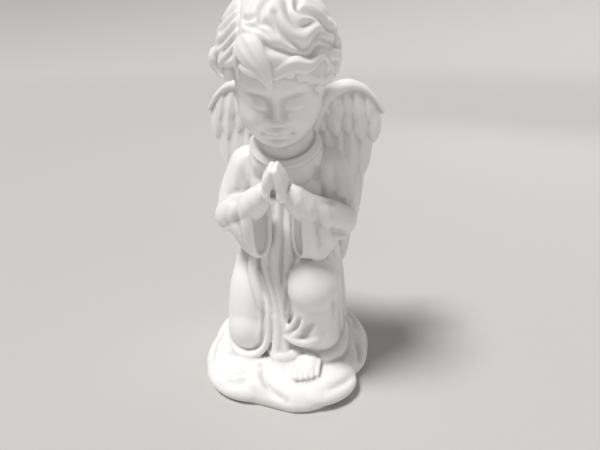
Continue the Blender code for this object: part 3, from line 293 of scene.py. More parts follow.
# A ringlet lying on the scalp: a roll that winds in on itself.
def addCurl(clay, turn, rise, radius, thickness, spin, lift, start):
    centre = onScalp(turn, rise, lift)
    out = unit((centre - scalpCentre) / scalpRadii**2)
    side = unit(np.cross(np.array((0.0, 0.0, 1.0)), out))
    up = np.cross(out, side)
    t = np.linspace(0, 1, 14)
    angle = math.radians(start) + spin * t * math.radians(500)
    reach = radius * (1 - 0.72 * t)
    points = centre + side * (reach * np.cos(angle))[:, None]
    points = points + up * (reach * np.sin(angle))[:, None] + out * (1.6 * t)[:, None]
    addTube(clay, points, list(thickness * (1 - 0.35 * t)), across=out, samples=40, sides=14)


# Edge of the cap of hair round the head: degrees round, degrees up
hairline = (
    (-180, -68), (-145, -64), (-116, -48), (-96, -28), (-80, -14), (-66, -6), (-50, 6), (-38, 14),
    (-25, 13), (-12, 10), (0, 11), (12, 15), (24, 13), (36, 3), (47, -8), (58, -22), (76, -32),
    (104, -46), (145, -64), (180, -68),
)
hairDepth = 3.4
hairRelief = 0.8
hairRings = 150
hairSides = 300
hairRise = (-78, 89.4)  # degrees up, from the cap's lowest ring to its top
carvePoints = 48  # along each carved line
scalpReach = 25  # clay units for each unit of the scalp's sphere
# Places where the cap swells: degrees round, degrees up, spread in degrees, height
swells = (
    (93, 22, 10, 1.6), (89, 3, 9, 2.4), (80, -13, 8, 2.6), (62, 44, 12, 1.0), (40, 37, 10, 1.0),
    (-85, 20, 10, 1.0), (-80, 5, 8, 1.4), (-10, 62, 16, 0.8),
)
# Lines carved between the waves: the route in degrees (turn, rise), the depth, the half width
hairLines = (
    (((-120, 64), (-79.5, 57.4), (-63.4, 51.7), (-53.5, 45.2), (-45.9, 37.2), (-42.4, 27.6),
        (-39.3, 16.3)), 1.7, 1.2),
    (((-44, 38.5), (-30, 36.8), (-20, 35.9), (-9.0, 33.8), (1, 31.6), (10, 29.6), (18, 26.5), (26.1, 24.5),
        (34.3, 22.1), (42.3, 24.3), (48.4, 25.4), (56.3, 21.8), (65.2, 15.3), (85.7, 1.7)), 1.7, 1.3),
    (((-130, 72), (-80, 66), (-53.7, 51), (-42.2, 49.3), (-32.0, 51.9), (-21.0, 55.2)), 1.0, 1.2),
    (((178, 70), (178, 82), (0, 87), (-12, 76), (-22, 62), (-19.7, 51), (-11.6, 50.3), (-3.4, 48.3),
        (2.8, 44.4), (9.4, 41.9)), 1.4, 1.3),
    (((-46.6, 44.6), (-33.4, 45.3), (-20.8, 45.8), (-10.0, 43.0), (-4.0, 39.5)), 0.8, 1.0),
    (((2, 58), (8, 47), (15.5, 38.4), (21.9, 33.3), (30.3, 27.8), (38.5, 27.8), (45.6, 31.0), (55.4, 33.0),
        (66, 29)), 2.0, 1.4),
    (((150, 80), (60, 82), (30, 70), (24, 58), (29.9, 46.8), (38.3, 44.1), (52.8, 43.2), (65.2, 40.4),
        (72, 33)), 1.7, 1.4),
    (((168, 68), (120, 72), (70, 68), (44, 60), (50.7, 53.6), (60.9, 45.5), (67.3, 36.7), (74.6, 27.2),
        (92.9, 14.1)), 1.9, 1.4),
    (((160, 58), (125, 60), (98, 54), (87.9, 45.8), (85.9, 38.7), (92, 30)), 1.3, 1.3),
    (((48.3, 30.0), (58.7, 26.5), (73.9, 14.4), (90, 4)), 1.5, 1.3),
    (((64, 10), (72, 0), (84, -8), (96, -10)), 1.6, 1.3),
    (((-95, 62), (-66.7, 50.5), (-68.5, 39.6), (-75.4, 27.7), (-87.1, 17.2)), 1.3, 1.2),
    (((-60, 50), (-53.4, 43.4), (-57.5, 33.0), (-67.7, 19.5), (-81.0, 7.4)), 1.4, 1.2),
    (((-50, 42), (-46.5, 36.1), (-50.7, 27.1), (-59.9, 16.2), (-77.4, 1.0)), 1.4, 1.2),
    (((-44, 33), (-42.4, 28.4), (-45.0, 21.7), (-51.0, 13.2), (-61.2, 2)), 1.2, 1.1),
    (((-70, 56), (-80, 44), (-88, 30), (-98, 18), (-104, 4)), 1.2, 1.2),
)
# Locks that lie loose on the cap: the route, the width, the thickness, the lift and tip lift
locks = (
    (((-46, 38), (-38, 34), (-28, 29), (-19, 23), (-11.0, 15.5), (-6.0, 6.6), (-3.6, -3.6)),
        11.5, 2.7, 2.9, 1.0),
    (((-40, 17), (-34.3, 12.4), (-25.5, 11.0), (-15.6, 9.2), (-9.6, 4.6), (-6.2, -3.4)),
        3.8, 2.6, 2.6, 1.2),
    (((-45, 38), (-42, 28), (-39.6, 16.4), (-38.0, 7), (-37.6, -4)), 2.6, 1.8, 3.2, -0.4),
    (((-7, 5), (-2, 8.6), (5, 13.2), (12.6, 16.6), (20, 17.0), (27.3, 14.4), (34.7, 13.4), (43.1, 15.4),
        (51.5, 14.0), (57, 7), (57, -3)), 6.4, 3.2, 2.6, 1.2),
    (((56, 16), (66, 9), (75, 3), (81, -7), (77, -18), (70, -16)), 5.4, 3.0, 3.4, 1.4),
    (((-80, 6), (-82, 1), (-82, -5), (-78, -11), (-72, -15), (-65, -18)), 6.8, 3.4, 5.8, -2.4),
    (((-58, 18), (-64, 8), (-68, -1), (-66, -10), (-58, -13)), 4.8, 2.4, 2.6, 0.8),
    (((9, 15), (15, 9), (20, 10)), 3.6, 2.0, 2.0, 0.4),
    (((20, 14), (26, 5), (33, 4), (33, 9)), 4.2, 2.4, 2.2, 0.4),
    (((32, 12), (36, 0), (43, -3), (46, 3)), 4.4, 2.4, 2.4, 0.4),
    (((44, 9), (47, -5), (53, -10), (58, -4)), 4.6, 2.4, 2.6, 0.4),
    (((50, -6), (50, -17), (56, -22), (61, -15)), 4.6, 2.4, 2.2, 0.4),
    (((57, -17), (57, -27), (63, -33), (69, -26)), 4.8, 2.4, 2.0, 0.4),
    (((66, 0), (66, -12), (72, -22), (79, -18)), 5.0, 2.6, 2.8, 0.6),
    (((-64, 4), (-62, -8), (-68, -18), (-76, -14)), 4.6, 2.4, 2.0, 0.6),
)
ringlets = (
    (79, -13, 3.4, 1, 60),
    (60, -11, 2.4, -1, 30),
)


# The crown, where the hair turns: degrees round and up on the scalp
crown = (176, 58)


# (turn, rise) of a place so many degrees from the crown; bearing 0 runs straight down the nape.
def fromCrown(bearing, reach):
    a, e = (math.radians(value) for value in crown)
    top = np.array((math.cos(e) * math.sin(a), -math.cos(e) * math.cos(a), math.sin(e)))
    side = unit(np.cross((0, 0, 1), top))
    down = np.cross(side, top)
    down = down if down[2] < 0 else -down
    b, r = math.radians(bearing), math.radians(reach)
    way = top * math.cos(r) + (down * math.cos(b) + side * math.sin(b)) * math.sin(r)
    return math.degrees(math.atan2(way[0], -way[1])), math.degrees(math.asin(np.clip(way[2], -1, 1)))


crownLineCount = 17
crownLineGap = 11.5  # degrees between neighbours
crownLineEnd = 128  # degrees from the crown
# Long and short lines take turns: degrees from the crown to the start, depth, half width
crownLineKinds = ((12, 1.9, 1.4), (44, 1.1, 1.1))


# Lines that wave down the back and sides of the head from the crown.
def crownLines():
    lines = []
    for k in range(crownLineCount):
        bearing = crownLineGap * (k - crownLineCount // 2)
        start, depth, width = crownLineKinds[k % 2]
        route = []
        for step in range(9):
            t = step / 8
            reach = start + (crownLineEnd - start) * t
            sway = 9.5 * math.sin(math.radians(3.4 * reach + 60 * math.sin(0.7 * k))) * min(1, reach / 60)
            route.append(fromCrown(bearing + sway, reach))
        lines.append((route, depth, width))
    return lines


# How far the cap of hair stands over the scalp, with its waves carved, at each turn and rise.
def hairLift(turn, rise):
    edge = np.interp(turn, *np.array(hairline, float).T)
    inside = np.clip((rise - edge) / 6 + 0.5, 0, 1)
    lift = -1.6 + (hairDepth + 1.6) * np.sqrt(inside)
    ways = (onScalp(turn, rise) - scalpCentre) / scalpRadii
    for swellTurn, swellRise, spread, height in swells:
        middle = (onScalp(swellTurn, swellRise) - scalpCentre) / scalpRadii
        off = np.linalg.norm(ways - middle, axis=1) / math.radians(spread)
        lift += height * inside * np.exp(-(off**2))
    grooves, crests = np.zeros_like(lift), np.zeros_like(lift)
    for route, depth, width in hairLines + tuple(crownLines()):
        line = (scalpRoute(route, carvePoints, 0.0)[0] - scalpCentre) / scalpRadii
        gaps = np.linalg.norm(ways[:, None] - line[None], axis=2)
        near = gaps.min(axis=1) * scalpReach
        along = gaps.argmin(axis=1) / (carvePoints - 1)
        fade = np.sin(math.pi * np.clip(along, 0.05, 0.95)) ** 0.5
        grooves = np.maximum(grooves, depth * fade * np.exp(-((near / width) ** 2)))
        beside = (near - 2.6 * width) / (1.6 * width)
        crests = np.maximum(crests, 0.4 * depth * fade * np.exp(-(beside**2)))
    return lift + hairRelief * (crests * (1 - np.clip(grooves, 0, 1)) - grooves)


def addHair(clay):
    turn = np.linspace(-180, 180, hairSides, endpoint=False)
    rings = []
    for rise in np.linspace(*hairRise, hairRings):
        lift = hairLift(turn, np.full(hairSides, rise))
        rings.append(onScalp(turn, np.full(hairSides, rise), lift))
    addRings(clay, rings)
    for route, width, thickness, lift, tipLift in locks:
        addLock(clay, route, width, thickness, lift, tipLift)
    for turn, rise, radius, spin, start in ringlets:
        addCurl(clay, turn, rise, radius, radius * 0.46, spin, 2.6, start)


# Locks that hang from the back of the bowed head over the nape, made in the clay's own space.
def addNape(clay):
    addBall(clay, (-1, 4.5, 124), (15.0, 9.5, 17.0))
    for row, (top, bottom, count) in enumerate(((126, 106.5, 6), (133, 114.0, 7), (141, 122.0, 6))):
        for k in range(count):
            t = k / (count - 1) * 2 - 1
            x = -1 + t * (11.5 + 1.5 * row)
            y = 12.4 + 1.2 * row - 4.2 * t * t
            sway = 1.5 if (k + row) % 2 else -1.5
            middle = (top + bottom) / 2
            points = [(x, y - 2.5, top + 2), (x + sway, y, middle + 4), (x - sway, y + 0.2, middle - 5),
                (x * 0.9, y - 2.2, bottom)]
            addTube(clay, points, [2.8, 3.0, 2.6, 0.8], [2.4, 2.4, 2.0, 0.8], samples=26, sides=20)


# Robe and limbs. Heights are over the top of the ground.

# Trunk, shoulders and thighs under the robe, melted soft before anything crisp is added.
def addBody(clay):
    body = []
    addBall(body, (0, 2.5, 84), (20, 15, 19.5))
    addBall(body, (0, 0.5, 91), (15.5, 14.5, 12.5), (-28, 0, 0))
    addBall(body, (0, 3.0, 64), (19.5, 16.5, 20))
    addBall(body, (0, 7.0, 44), (25, 20, 18))
    for side in (-1, 1):
        addBall(body, (side * 17.8, 3.5, 91.2), (10.6, 10.0, 10.2))
    # Robe behind and under the seat, spreading to the ground
    addTube(
        body,
        [(0, 4, 92), (0, 5, 74), (-0.5, 8, 50), (-1, 11, 26), (-1.2, 13, 8), (-1.2, 13, 1)],
        [15, 19, 25, 27.5, 29, 29],
        [11, 14, 20, 23, 26.5, 26.5],
        sides=48,
        roundEnds=False,
    )
    # Cloth that hangs from the chest between the knees
    addTube(body, [(0, -2.6, 88), (0, -4.6, 70), (-0.5, -6, 46), (-1, -6, 24), (-1, -9, 3)],
        [10, 13, 15, 14, 15], [9.2, 9.4, 9.4, 9, 9])
    # Raised left leg: thigh, knee, then shin down to the foot
    addTube(body, [(9, 8, 42), (12.5, -6, 43), (14.6, -16.0, 42.0)], [13, 13, 12.6])
    addBall(body, (14.6, -17.0, 41.5), (12.8, 12.8, 13.6))
    addTube(body, [(14.6, -16.0, 40), (15.0, -14.5, 28), (15.3, -10.8, 15), (15.5, -3.0, 3)],
        [12.2, 11.4, 11.4, 11.6])
    # Kneeling right leg: thigh down to the knee, shin back along the ground
    addTube(body, [(-11, 6, 48), (-15.5, -3, 32), (-17.6, -8.0, 14)], [13.2, 13.4, 12.0])
    addBall(body, (-17.6, -9.0, 13.0), (11.8, 12.6, 13.6))
    addTube(body, [(-18, -6.5, 10), (-18, 12, 9), (-15, 32, 7.5)], [11, 11, 8.4])
    # Neck
    addTube(body, [(0, -0.8, 94), (-0.5, -3.6, 106), (-1.2, -7.2, 120)],
        [13.6, 13.0, 12.0], [13.4, 12.4, 11.6])
    clay.append(fused(body, "trunk", figurine["softGrain"], figurine["trunkSmoothing"]))


# Sleeve sections from the elbow to the cuff: across, along Y, height, half depth,
# reach up, and how far the right and the left sleeve reach down
sleeveSections = (
    (30.2, -4.0, 70.5, 2.5, 3.0, 2.0, 2.5),
    (28.4, -6.0, 70.5, 6.5, 7.0, 4.6, 5.6),
    (25.0, -10.0, 71.0, 8.4, 9.0, 6.0, 9.2),
    (21.0, -14.5, 72.0, 8.8, 9.5, 10.5, 16.0),
    (17.0, -18.5, 74.0, 8.4, 9.8, 16.0, 19.2),
    (12.0, -22.0, 76.5, 7.6, 9.4, 20.8, 20.6),
    (8.4, -24.0, 79.0, 6.8, 9.4, 23.6, 22.4),
)
sleeveWall = 1.7
sleeveRows = 40
mouthRows = 3  # how many of them the hollow of the mouth goes in


# How far each part of the sleeve's mouth lies out from its middle: degrees round from the back
mouthLean = ((0, -3.0), (90, 0.4), (180, 2.7), (225, 2.9), (252, 2.2), (270, 1.0), (287, -1.0),
    (305, -2.7), (360, -3.0))


def sleeveRing(side, row, inset):
    x, y, z, deep, up, rightDown, leftDown = row
    down = rightDown if side < 0 else leftDown
    turn = np.linspace(0, 2 * math.pi, 48, endpoint=False)
    tall = np.where(np.sin(turn) > 0, up, down) - inset
    deep = max(deep - inset, 0.4)
    narrow = 1 - 0.22 * np.clip(np.sin(turn), 0, 1) - 0.2 * np.clip(-np.sin(turn), 0, 1) ** 2
    mouth = np.clip((16.5 - x) / 8.1, 0, 1)
    lean = np.array(mouthLean, float)
    across = x + mouth * np.interp(np.degrees(turn), lean[:, 0], lean[:, 1])
    forward = y + deep * narrow * np.cos(turn) - mouth * 3.4 * np.sin(turn)
    return np.column_stack([side * across, forward, z + np.maximum(tall, 0.3) * np.sin(turn)])


# One wide sleeve: the upper arm, then a hanging bag of cloth that opens round the wrist.
def addSleeve(clay, side):
    addTube(clay, [(side * 18.6, 3, 91), (side * 23.4, 1.0, 80), (side * 24.8, -5, 70)], [9.5, 9.0, 8.4])
    path = smoothPath(sleeveSections, sleeveRows)
    outer = [sleeveRing(side, row, 0) for row in path]
    inner = [sleeveRing(side, row, sleeveWall) for row in path[-mouthRows:]][::-1]
    addRings(clay, outer + inner)
    # The rolled edge of the mouth, and the end of a fold at the elbow
    rim = (outer[-1] + inner[0]) / 2
    rim = np.vstack([rim[::3], rim[:1]])
    addTube(clay, rim, [1.2] * len(rim), across=(side, 0, 0), samples=72, sides=12, roundEnds=False)
    low = 66.5 if side < 0 else 65.0
    fold = [(side * 21.0, -20.5, low + 4.0), (side * 24.5, -16.5, low + 0.6),
        (side * 28.0, -12.0, low - 0.4), (side * 30, -8.5, low + 2)]
    addTube(clay, fold, [0.9, 1.5, 1.5, 0.9], samples=24, sides=14)


# Forearm in its cuff, and a hand laid against the other, fingers up.
def addArm(clay, side):
    forearm = [(side * 25, -9, 71), (side * 17, -19, 77), (side * 11.0, -25, 81.6),
        (side * 7.6, -28.0, 85.5)]
    addTube(clay, forearm, [7.6, 7.2, 6.4, 5.4])
    cuff = [(side * 10.6, -25.4, 82.4), (side * 6.9, -28.4, 86.6), (side * 4.0, -29.8, 90.4)]
    addTube(clay, cuff, [6.2, 5.1, 3.5], samples=20, roundEnds=False)
    addBall(clay, (side * 2.4, -31.0, 89.8), (2.9, 5.4, 4.4), (18, 0, 0))
    addBall(clay, (side * 1.9, -33.0, 88.4), (2.5, 2.6, 2.6), (18, 0, 0))
    # The flat of the hand and the fingers together, then each finger's own round
    addTube(clay, [(side * 2.5, -31.6, 90), (side * 1.9, -33.2, 95), (side * 0.9, -34.6, 99.6)],
        [2.7, 2.3, 1.2], [4.4, 4.1, 3.2])
    addTube(clay, [(0, -32.6, 91), (0, -34.6, 95.5), (0, -36.0, 98.6)],
        [2.6, 2.0, 1.2], [2.6, 2.2, 1.4], sides=16)
    for k in range(4):
        y = -35.2 + 2.5 * k
        length = (0.84, 0.97, 1.0, 0.92)[k]
        wide = (2.9, 3.5, 3.7, 3.5)[k]
        rise = 12.2 * length
        knuckle = (side * wide, y + 0.8, 90.2)
        bend = (side * wide * 0.92, y - 0.4 * length, 89.4 + rise * 0.5)
        tip = (side * 1.0, y - 1.3 * length, 88.8 + rise)
        addTube(clay, [knuckle, bend, tip], [1.7, 1.65, 1.15], sides=16, samples=14)
    thumb = [(side * 3.6, -26.6, 86), (side * 2.4, -25.4, 90), (side * 1.0, -25.8, 94)]
    addTube(clay, thumb, [2.0, 1.8, 1.4], sides=16)


# The left foot under the hem, toes forward, and the sole of the right foot behind.
def addFeet(clay):
    addBall(clay, (-15.5, 36.0, 5.6), (6.0, 6.6, 5.6), (14, 0, 0))
    for k in range(5):
        x = -19.6 + 2.3 * k
        size = (1.4, 1.5, 1.6, 1.7, 2.1)[k]
        toe = [(x, 36.5, 4.6), (x, 39.8, 3.4), (x, 40.2, 1.6)]
        addTube(clay, toe, [size, size, size], sides=14, samples=12)
    addBall(clay, (12.7, -24.5, 1.4), (6.2, 9.0, 4.5), (6, 0, -4))
    for k in range(5):
        x = 8.3 + 2.35 * k
        y = -33.2 + 0.24 * k * k - 0.2 * k
        size = (1.75, 1.55, 1.45, 1.35, 1.25)[k]
        toe = [(x + 0.2, y + 8, 3.4), (x, y + 3, 2.7), (x, y, 1.5)]
        addTube(clay, toe, [size, size * 1.05, size], sides=14, samples=14)


# The skirt where it lies on the ground round the raised foot, seen from above
skirtOutline = (
    (-9.6, -15.0), (-4.3, -21.6), (0.0, -22.8), (4.2, -21.8), (8.0, -20.2), (14.5, -20.4), (19.8, -21.0),
    (24.2, -18.0), (28.4, -12.9), (30.8, -5.7), (31.0, 4.5), (29.7, 14.0), (24.0, 24.0), (10.0, 27.0),
    (-8.0, 20.0), (-13.0, 6.0), (-12.5, -6.0),
)
skirtMiddle = np.array((9.0, 2.0))
skirtHeight = 6.2
# Its rounded edge: share of the height, share of the reach
skirtEdge = (
    (-0.9, 0.94), (0.0, 1.0), (0.45, 1.015), (0.78, 0.985), (0.95, 0.93), (1.0, 0.84), (1.0, 0.5),
)


# The flat layer of cloth on the ground, with a rounded edge.
def addSkirt(clay):
    outline = smoothPath(skirtOutline + skirtOutline[:1], 97)[:-1]
    rings = []
    for level, share in skirtEdge:
        spot = skirtMiddle + (outline - skirtMiddle) * share
        rings.append(np.column_stack([spot, np.full(len(spot), level * skirtHeight)]))
    addRings(clay, rings)


# Rolls of cloth that stand out from the robe: points, then half widths.
def addFolds(clay):
    folds = (
        # between the knees, falling aslant from the belt to the raised foot
        ([(-5.0, -10.4, 86), (-6.6, -12.6, 66), (-8.4, -14.0, 48), (-5.8, -16, 34), (-2.8, -17.5, 20),
            (-3.0, -18.6, 5)], [1.8, 2.4, 2.6, 2.5, 2.4, 2.8]),
        ([(-1.4, -11.4, 88), (-2.4, -13.2, 66), (-3.8, -14.6, 50), (-1.8, -16, 36), (0.2, -17.3, 22),
            (0.8, -18.8, 5)], [1.8, 2.4, 2.8, 2.3, 2.0, 2.6]),
        ([(2.4, -11.2, 88), (2.6, -13.2, 68), (2.6, -14.8, 50), (1.6, -16.3, 38), (1.4, -16.8, 22)],
            [1.8, 2.4, 2.8, 2.0, 1.4]),
        ([(6.4, -9.6, 84), (7.4, -12.0, 66), (8.0, -13.2, 54)], [1.6, 2.2, 2.0]),
        ([(-12, -8, 62), (-14.5, -12, 47), (-11.5, -15.2, 34), (-8.0, -14.8, 20)], [1.8, 3.0, 2.8, 1.8]),
        # lower lip of the cloth over the raised shin, and the folds that fan out of it
        ([(-1.6, -16.8, 15.4), (2.4, -18.8, 13.8), (7.2, -20.4, 12.9), (12.6, -21.2, 13.6),
            (17.8, -21.2, 17.0), (22.0, -19.0, 22.4)], [1.6, 2.3, 2.8, 3.1, 2.8, 1.4]),
        ([(5.0, -19.5, 14.5), (8.4, -21.8, 18.5), (10.6, -23.4, 23.5), (12.0, -24.4, 29.5)],
            [2.2, 2.1, 1.8, 0.9]),
        ([(1.8, -18.2, 16.5), (4.8, -20.2, 20.5), (7.2, -21.6, 25.5), (8.8, -22.4, 30.5)],
            [1.9, 1.7, 1.5, 0.8]),
        # border of the cloth round the kneeling knee
        ([(-10.4, -13.6, 43), (-7.6, -16.8, 32), (-6.8, -17.8, 27), (-7.4, -18.0, 15), (-10.2, -18.8, 5.5),
            (-16, -19.6, 1.6), (-23, -17.2, 1.6), (-27.4, -11.5, 6), (-28.6, -6, 16)],
            [0.9, 1.6, 1.9, 2.2, 2.3, 2.3, 2.2, 2.0, 1.2]),
        # down both flanks
        ([(23.5, -1, 46), (25, 0, 28), (25.8, 1, 8)], [2.0, 2.6, 2.8]),
        ([(23, 12, 48), (25.2, 14, 28), (26.6, 15, 6)], [2.4, 2.8, 3.0]),
        ([(-25, 2, 44), (-27, 3, 26), (-29, 4, 6)], [2.0, 3.0, 3.2]),
        ([(-24, 14, 48), (-27, 18, 26), (-29, 22, 6)], [2.4, 3.2, 3.4]),
    )
    for points, widths in folds:
        addTube(clay, points, widths, samples=40, sides=18)
    addSkirt(clay)
    # Folds fall down the back
    for k in range(7):
        points = []
        for reach, reachY, z in ((14, 5, 94), (18, 9, 76), (24, 18.5, 50), (27, 25, 26), (28.5, 30.5, 6),
            (29, 31.5, -3)):
            a = math.radians(-66 + 22 * k + 3 * math.sin(2.3 * k + z / 14))
            points.append((reach * math.sin(a), 9 + reachY * math.cos(a), z))
        a = math.radians(-66 + 22 * k)
        across = (math.cos(a), -math.sin(a), 0)
        addTube(clay, points, [1.0, 1.9, 3.2, 4.0, 4.5, 4.6], [0.8, 1.5, 2.2, 2.7, 3.0, 3.0],
            across=across, samples=34, sides=18)


# A place on the neckline: a turned round the neck from the front, drop measured down from it.
def collarPoint(a, reach, drop):
    x = 14.6 * reach * math.sin(a)
    y = -5.2 - 11.8 * reach * math.cos(a) + 0.5 * drop
    z = 104.6 - 6.0 * reach * math.cos(a) - 0.9 * math.cos(2 * a) - 0.87 * drop
    return x, y, z


# Cloth that rises from the shoulders to the neck.
def addNeckline(clay):
    around = [2 * math.pi * k / 48 for k in range(48)]
    mound = ((0.84, 0.6), (0.96, 0.4), (1.04, 1.8), (1.14, 6.0), (1.15, 13.0), (0.98, 21.0), (0.5, 26.0))
    rings = [[collarPoint(a, reach, drop) for a in around] for reach, drop in mound]
    addRings(clay, rings)


# The double roll that edges the neckline.
def addCollar(clay):
    around = [2 * math.pi * k / 48 for k in range(48)]
    for reach, drop, size in ((0.95, 0.0, 1.05), (1.045, 1.1, 0.95)):
        ring = [collarPoint(a, reach, drop) for a in around[::2]] + [collarPoint(0, reach, drop)]
        addTube(clay, ring, [size] * len(ring), across=(0, 0, 1), samples=72, sides=12, roundEnds=False)


# Wing, in its own plane: outwards from the spine, height and half thickness of the arm's roll.
# The wing leans back as it goes outwards.
wingArm = (
    (8.0, 101.0, 3.4),
    (11.0, 113.0, 4.0),
    (17.0, 122.2, 3.9),
    (24.5, 126.4, 3.5),
    (31.0, 125.8, 2.6),
    (35.5, 123.2, 2.0),
    (39.0, 119.6, 1.6),
    (42.6, 114.6, 1.0),
)
# Web that carries the feathers: height, then its inner and outer edge
wingWeb = (
    (123.0, 15.0, 34.0),
    (117.0, 11.5, 39.5),
    (110.0, 9.0, 39.4),
    (98.0, 8.0, 37.0),
    (84.0, 8.0, 33.0),
    (64.0, 8.0, 29.0),
    (46.0, 9.0, 22.0),
)
wingRootY = 15.0
wingLean = 0.24
featherThick = 1.0


def wingPoint(side, out, height, ahead=0.0):
    return (side * out, wingRootY + wingLean * out - ahead, height)


# One feather from its root to its rounded tip, slightly bowed, with a raised quill.
def addFeather(clay, side, start, end, width, ahead, face):
    t = np.linspace(0, 1, 18)
    bow = 1.2 * np.sin(math.pi * t)
    out = start[0] + (end[0] - start[0]) * t
    height = start[1] + (end[1] - start[1]) * t
    spots = zip(out, height, bow)
    middle = np.array([wingPoint(side, o, h, (ahead + b * 0.5) * face) for o, h, b in spots])
    along = unit(np.gradient(middle, axis=0))
    normal = unit(np.array((-side * wingLean, 1.0, 0.0))) * -face
    across = unit(np.cross(along, normal))
    belly = 0.78 + 0.22 * np.sin(math.pi * np.clip(t * 0.8 + 0.05, 0, 1))
    half = width * 0.5 * belly * np.sqrt(np.clip(1.005 - t**5, 0, 1))
    turn = np.linspace(0, 2 * math.pi, 22, endpoint=False)
    rings = []
    for i in range(len(t)):
        x = np.cos(turn)
        skin = featherThick * np.sin(turn) * (1 - 0.3 * t[i] ** 6)
        quill = 0.4 * np.exp(-((x / 0.22) ** 2)) * (np.sin(turn) > 0)
        rings.append(middle[i] + across[i] * (half[i] * x)[:, None] + normal * (skin + quill)[:, None])
    addRings(clay, rings)


# Rows of feathers, lowest row first: how many, then root and tip of the innermost and outermost
# one as (out, height), how far the roots arch up, the width, and how far the row stands off the web
featherRows = (
    (4, (8, 74), (26, 88), (11, 31), (26, 38.5), -1.0, 9.0, -0.9),
    (4, (11, 90), (32.4, 98), (13, 46), (29.0, 54), -1.0, 9.0, -0.1),
    (5, (10, 108), (34.8, 112), (13, 68), (33.6, 82.5), 0.0, 9.4, 1.0),
    (5, (11.5, 122), (38.2, 117.6), (15, 106), (39.4, 100), 1.6, 7.6, 1.8),
    (5, (13.5, 123), (34.5, 124), (17.5, 113.5), (37.5, 108.5), 1.0, 7.0, 2.5),
)


def addWing(clay, side):
    arm = [wingPoint(side, out, height) for out, height, _ in wingArm]
    sizes = [size for _, _, size in wingArm]
    addTube(clay, arm, sizes, [s * 0.6 + 2.7 for s in sizes], across=(0, 0, 1), samples=44)
    middles = [wingPoint(side, (inner + outer) / 2, height) for height, inner, outer in wingWeb]
    halves = [(outer - inner) / 2 for _, inner, outer in wingWeb]
    addTube(clay, middles, halves, [1.8] * len(wingWeb), across=(side, wingLean, 0), samples=34)
    for count, innerRoot, outerRoot, innerTip, outerTip, arch, width, ahead in featherRows:
        for k in range(count):
            t = k / (count - 1)
            rise = arch * math.sin(math.pi * t)
            start = [a + (b - a) * t for a, b in zip(innerRoot, outerRoot)]
            end = [a + (b - a) * t for a, b in zip(innerTip, outerTip)]
            start[1] += rise
            end[1] += 0.5 * rise - 1.6 * (k % 2)
            for face in (1, -1):
                addFeather(clay, side, start, end, width, ahead * (1 - 0.35 * t) + 0.3 * (k % 2), face)


# Outline of the ground seen from above: degrees round from +X, and reach in clay
groundOutline = (
    (-180, 42.5), (-163, 44.0), (-146, 44.4), (-132, 43.6), (-116, 42.0), (-102, 40.2),
    (-89, 41.2), (-77, 43.4), (-62, 44.0), (-45, 42.0), (-28, 39.6), (-8, 40.8),
    (15, 44.0), (35, 46.5), (53, 48.5), (75, 44.0), (100, 42.0), (125, 42.5), (150, 41.0),
)


# Swellings that make the top of the ground cloud-like: place, half sizes and turn in degrees
groundLobes = (
    ((13.0, -22.0, -6.6), (23.5, 19.0, 8.2), 6),
    ((-19.0, -22.5, -7.4), (20.5, 16.0, 8.2), -32),
    ((29.0, 6.0, -6.8), (12.5, 24.0, 8.0), 4),
    ((-27.5, 8.0, -7.0), (14.0, 24.0, 8.0), 4),
    ((2.0, 29.0, -7.0), (28.0, 14.0, 8.2), 0),
)


# Sections of the mound: share of its reach, share of its height
groundSections = (
    (0.955, -0.3), (0.965, 0.0), (0.998, 0.25), (0.99, 0.5), (0.93, 0.8), (0.82, 0.96), (0.5, 1.05),
    (0.03, 1.05),
)
groundPlace = (-0.2, 1.4)  # its middle, across and along Y


# The low mound that the figure kneels on; its top is at height 0.
def addGround(clay):
    sizes = ("groundWidth", "groundDepth", "groundHeight")
    width, deep, tall = (figurine[size] / millimetre for size in sizes)
    keys = np.array(groundOutline + (groundOutline[0],), float)
    keys[-1, 0] += 360
    path = smoothPath(keys, 161)[:-1]
    turn = np.radians(path[:, 0])
    x, y = path[:, 1] * np.cos(turn), path[:, 1] * np.sin(turn)
    middleX, middleY = (x.max() + x.min()) / 2, (y.max() + y.min()) / 2
    x, y = (x - middleX) * width / np.ptp(x), (y - middleY) * deep / np.ptp(y)
    rings = []
    for share, rise in smoothPath(groundSections, 44):
        swell = 0.06 * np.sin(3 * turn + 1.0) * share
        height = np.full_like(x, tall * (rise - 1)) + (tall * swell if rise > 0.3 else 0)
        rings.append(np.column_stack([x * share + groundPlace[0], y * share + groundPlace[1], height]))
    addRings(clay, rings)
    for place, radii, turn in groundLobes:
        addBall(clay, place, radii, (0, 0, turn))


